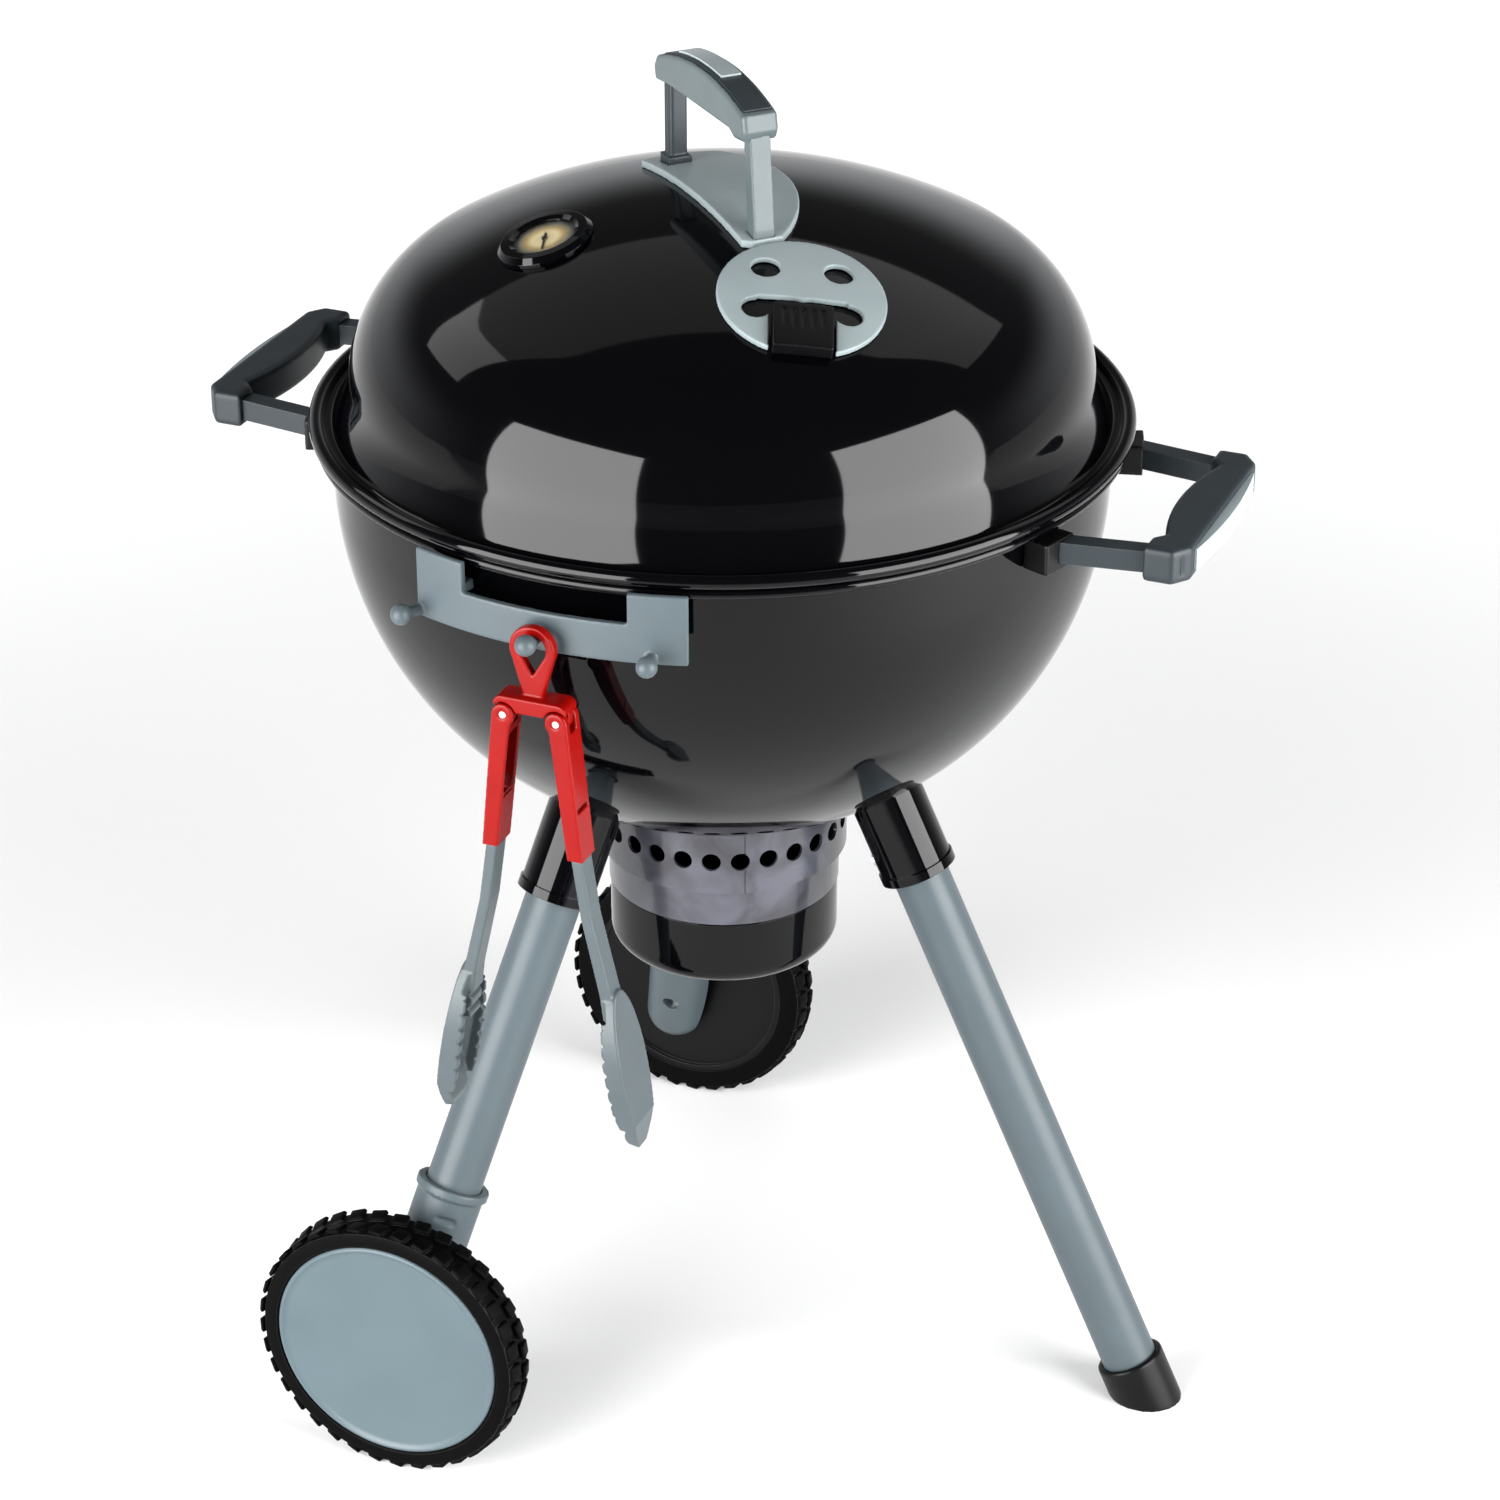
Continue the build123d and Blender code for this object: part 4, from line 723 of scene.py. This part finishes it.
def coalLump():
    work = bmesh.new()
    bmesh.ops.create_icosphere(work, subdivisions=2, radius=coalFacts["lumpMm"] * mm)
    for vert in work.verts:
        push = noise.noise(vert.co * 90.0) * 0.35 + noise.cell(vert.co * 120.0) * 0.12
        vert.co *= 1.0 + push
        vert.co.z *= coalFacts["squash"]
    mesh = bpy.data.meshes.new("lump")
    work.to_mesh(mesh)
    work.free()
    return mesh


def heapTree():
    tree = bpy.data.node_groups.new("heapOfLumps", "GeometryNodeTree")
    face = tree.interface
    face.new_socket("Lump", in_out="INPUT", socket_type="NodeSocketGeometry")
    for label, kind in (("Radius", "Float"), ("Spacing", "Float"), ("Height", "Float"), ("Axis Y", "Float"),
                        ("Seed", "Int"), ("Finish", "Material")):
        face.new_socket(label, in_out="INPUT", socket_type="NodeSocket" + kind)
    face.new_socket("Heap", in_out="OUTPUT", socket_type="NodeSocketGeometry")
    given = addNode(tree, "NodeGroupInput").outputs
    disc = addNode(tree, "GeometryNodeMeshCircle", {"Vertices": 48, "fill_type": "NGON"},
                   {"Radius": given["Radius"]})
    spots = addNode(tree, "GeometryNodeDistributePointsOnFaces",
                    {"distribute_method": "POISSON", "Density Max": 12000.0},
                    {"Mesh": disc.outputs[0], "Distance Min": given["Spacing"],
                     "Seed": given["Seed"]}).outputs["Points"]
    position = addNode(tree, "GeometryNodeInputPosition").outputs[0]
    reach = addNode(tree, "ShaderNodeVectorMath", {"operation": "LENGTH"}, {0: position}).outputs["Value"]
    fall = addNode(tree, "ShaderNodeMath", {"operation": "DIVIDE"}, {0: reach, 1: given["Radius"]}).outputs[0]
    fall = addNode(tree, "ShaderNodeMath", {"operation": "POWER", 1: 3.0}, {0: fall}).outputs[0]
    drop = addNode(tree, "ShaderNodeMath", {"operation": "MULTIPLY", 1: -0.008}, {0: fall}).outputs[0]
    jitter = addNode(tree, "FunctionNodeRandomValue", {"data_type": "FLOAT", 2: -0.0015, 3: 0.0025},
                     {"Seed": given["Seed"]})
    lift = addNode(tree, "ShaderNodeMath", {"operation": "ADD"}, {0: drop, 1: jitter.outputs[1]}).outputs[0]
    lift = addNode(tree, "ShaderNodeCombineXYZ", {}, {"Z": lift}).outputs[0]
    spots = addNode(tree, "GeometryNodeSetPosition", {}, {"Geometry": spots, "Offset": lift}).outputs[0]
    spin = addNode(tree, "FunctionNodeRandomValue",
                   {"data_type": "FLOAT_VECTOR", 0: (-0.5, -0.5, 0.0), 1: (0.5, 0.5, 6.28)},
                   {"Seed": given["Seed"]}).outputs[0]
    size = addNode(tree, "FunctionNodeRandomValue", {"data_type": "FLOAT", 2: 0.75, 3: 1.15},
                   {"Seed": given["Seed"]})
    lumps = addNode(tree, "GeometryNodeInstanceOnPoints", {}, {"Points": spots, "Instance": given["Lump"],
                                                               "Rotation": spin,
                                                               "Scale": size.outputs[1]}).outputs[0]
    lumps = addNode(tree, "GeometryNodeRealizeInstances", {}, {"Geometry": lumps}).outputs[0]
    shift = addNode(tree, "ShaderNodeCombineXYZ", {}, {"Y": given["Axis Y"], "Z": given["Height"]}).outputs[0]
    heap = addNode(tree, "GeometryNodeTransform", {}, {"Geometry": lumps, "Translation": shift}).outputs[0]
    heap = addNode(tree, "GeometryNodeSetMaterial", {},
                   {"Geometry": heap, "Material": given["Finish"]}).outputs[0]
    addNode(tree, "NodeGroupOutput", {}, {"Heap": heap})
    return tree


def makeCoals():
    f = coalFacts
    soot = finish["sootyBlackPp"]
    lumps = runTree("lumps", coalLump(), heapTree(), {
        "Radius": f["radius"] * mm, "Spacing": f["spacingMm"] * mm, "Height": f["height"] * mm,
        "Axis Y": axisY,
        "Seed": f["seed"], "Finish": soot}, soot)
    tray = turnedShell("tray", list(f["tray"]), soot, steps=96)
    heap = joinMeshes("charcoal_heap", [tray, lumps], soot)
    place(heap, "kettle", "charcoal_black", "charcoal")


makeCoals()
print("charcoal done")

place(bowlShell, "kettle", "black_gloss", "bowl", "bowl_base", "bowl_rim")
place(lidDome, "lid", "black_gloss", "lid_shell", "lid_rim")
place(cupShell, "cup", "black_gloss", "ash_cup")


# floor, lights and camera
studio = dict(
    backAzimuth=112.0,                  # the side away from the camera, in degrees from +X
    roomColour="#f4f6f8", roomLight=0.9, darkLight=0.12,
    floorPale=("#d2d2d2", "#d8d8d8"), floorFrontShade="#cfcfcf", floorReach=9.0,
    nearGlow=0.03, farGlow=0.8, frontGlow=0.25,
    frontPower=74.0, frontAway=1.45, frontWidth=1.22, frontLow=0.03, frontHigh=1.34,
    frontBoxes=(("frontLeftSoftbox", -118.0, 0.12), ("frontRightSoftbox", -12.0, 0.02)),
    overheadAzimuth=22.0, overheadBehind=1.05, overheadZ=2.0, overheadDeep=1.2,
    overheadPanels=(("overLeftSoftbox", -1.9, 1.4, 12.6), ("overMiddleSoftbox", -0.5, 1.4, 2.4),
                    ("overRightSoftbox", 0.98, 1.55, 5.6)))


def alongBack(tree, where):
    # how far a point or a direction lies towards the back of the studio
    back = math.radians(studio["backAzimuth"])
    return addNode(tree, "ShaderNodeVectorMath",
                   {"operation": "DOT_PRODUCT", 1: (math.cos(back), math.sin(back), 0.0)},
                   {0: where}).outputs["Value"]


def makeFloor():
    # smooth pale studio floor, painted board
    material, tree = newMaterial("palePaintedFloor")
    where = addNode(tree, "ShaderNodeTexCoord").outputs["Object"]
    patch = addNode(tree, "ShaderNodeTexNoise", {"Scale": 1.5, "Detail": 2.0},
                    {"Vector": where}).outputs["Fac"]
    tone = addNode(tree, "ShaderNodeMix", {"data_type": "RGBA", 6: linear(studio["floorPale"][0]),
                                             7: linear(studio["floorPale"][1])}, {0: patch})
    along = alongBack(tree, where)      # painted shade: the board is greyer in front of the toy, standing in for light that falls off there
    front = addNode(tree, "ShaderNodeMapRange", {"interpolation_type": "SMOOTHSTEP", "From Min": -0.75,
                                                 "From Max": -0.25}, {"Value": along}).outputs["Result"]
    tone = addNode(tree, "ShaderNodeMix", {"data_type": "RGBA", 6: linear(studio["floorFrontShade"])},
                   {0: front, 7: tone.outputs[2]})
    reach = addNode(tree, "ShaderNodeVectorMath", {"operation": "LENGTH"}, {0: where}).outputs["Value"]
    far = addNode(tree, "ShaderNodeMapRange",
                  {"interpolation_type": "SMOOTHSTEP", "From Min": 0.4, "From Max": 1.8,
                                               "To Min": studio["nearGlow"], "To Max": studio["farGlow"]},
                  {"Value": reach}).outputs["Result"]
    share = addNode(tree, "ShaderNodeMapRange", {"To Min": studio["frontGlow"], "To Max": 1.0},
                    {"Value": front}).outputs[0]
    glow = addNode(tree, "ShaderNodeMath", {"operation": "MULTIPLY"}, {0: share, 1: far}).outputs[0]
    shader = addNode(tree, "ShaderNodeBsdfPrincipled", {"Roughness": 0.9, "Specular IOR Level": 0.1,
                                                        "Emission Color": linear("#ffffff")},
                     {"Base Color": tone.outputs[2], "Emission Strength": glow})
    addNode(tree, "ShaderNodeOutputMaterial", {}, {"Surface": shader.outputs["BSDF"]})
    mesh = bpy.data.meshes.new("floor")
    reach = studio["floorReach"]
    mesh.from_pydata([(-reach, -reach, 0), (reach, -reach, 0), (reach, reach, 0), (-reach, reach, 0)], [],
                     [(0, 1, 2, 3)])
    meshPiece("floor", mesh, material)


def softbox(name, azimuth, distance, width, low, high, power, shift=0.0):
    # an upright softbox that faces the kettle; azimuth is measured from +X
    turn = math.radians(azimuth)
    out = Vector((math.cos(turn), math.sin(turn), 0))
    across = Vector((-out.y, out.x, 0))
    light = bpy.data.lights.new(name, "AREA")
    light.shape, light.size, light.size_y, light.energy = "RECTANGLE", width, high - low, power
    lamp = bpy.data.objects.new(name, light)
    lamp.location = Vector((0, axisY, (low + high) / 2)) + out * distance + across * shift
    lamp.rotation_mode = "QUATERNION"
    lamp.rotation_quaternion = out.to_track_quat("Z", "Y")
    lamp.visible_camera = False
    scene.collection.objects.link(lamp)


def overhead(name, spot, size, power, turn):
    # a level panel that shines straight down
    light = bpy.data.lights.new(name, "AREA")
    light.shape, light.size, light.size_y, light.energy = "RECTANGLE", size[0], size[1], power
    lamp = bpy.data.objects.new(name, light)
    lamp.location = spot
    lamp.rotation_euler = (0, 0, math.radians(turn))
    lamp.visible_camera = False
    scene.collection.objects.link(lamp)


makeFloor()
for name, azimuth, shift in studio["frontBoxes"]:
    softbox(name, azimuth, studio["frontAway"], studio["frontWidth"], studio["frontLow"], studio["frontHigh"],
            studio["frontPower"], shift)
for name, along, width, power in studio["overheadPanels"]:      # a dim band of level panels behind
    turn = math.radians(studio["overheadAzimuth"])
    behind = studio["overheadBehind"]
    spot = (along * math.cos(turn) - behind * math.sin(turn),
            along * math.sin(turn) + behind * math.cos(turn) + axisY, studio["overheadZ"])
    overhead(name, spot, (width, studio["overheadDeep"]), power, studio["overheadAzimuth"])


def makeWorld():
    world = bpy.data.worlds.new("studioRoom")
    world.use_nodes = True
    tree = world.node_tree
    tree.nodes.clear()
    where = addNode(tree, "ShaderNodeTexCoord").outputs["Generated"]
    along = alongBack(tree, where)
    behind = addNode(tree, "ShaderNodeMapRange",
                     {"interpolation_type": "SMOOTHSTEP", "From Min": -0.3, "From Max": 0.6},
                     {"Value": along}).outputs["Result"]
    height = addNode(tree, "ShaderNodeSeparateXYZ", {}, {0: where}).outputs[2]
    low = addNode(tree, "ShaderNodeMapRange",
                  {"interpolation_type": "SMOOTHSTEP", "From Min": 0.42, "From Max": 0.1},
                  {"Value": height}).outputs["Result"]
    amount = addNode(tree, "ShaderNodeMath", {"operation": "MULTIPLY"}, {0: behind, 1: low}).outputs[0]
    level = addNode(tree, "ShaderNodeMapRange",
                    {"To Min": studio["darkLight"], "To Max": studio["roomLight"]},
                    {"Value": amount}).outputs["Result"]
    sky = addNode(tree, "ShaderNodeBackground", {"Color": linear(studio["roomColour"])}, {"Strength": level})
    addNode(tree, "ShaderNodeOutputWorld", {}, {"Surface": sky.outputs[0]})
    scene.world = world


makeWorld()

cameraFacts = dict(place=(0.6789, -1.6341 + axisY, 1.2344), heading=22.17, down=27.77, lens=104.28)
lensData = bpy.data.cameras.new("studioCamera")
lensData.lens, lensData.sensor_width = cameraFacts["lens"], 36.0
camera = bpy.data.objects.new("studioCamera", lensData)
camera.location = cameraFacts["place"]
camera.rotation_euler = (math.radians(90 - cameraFacts["down"]), 0, math.radians(cameraFacts["heading"]))
scene.collection.objects.link(camera)
scene.camera = camera
scene.view_settings.view_transform = "Standard"
scene.view_settings.look = "None"
print("floor, lights and camera done")
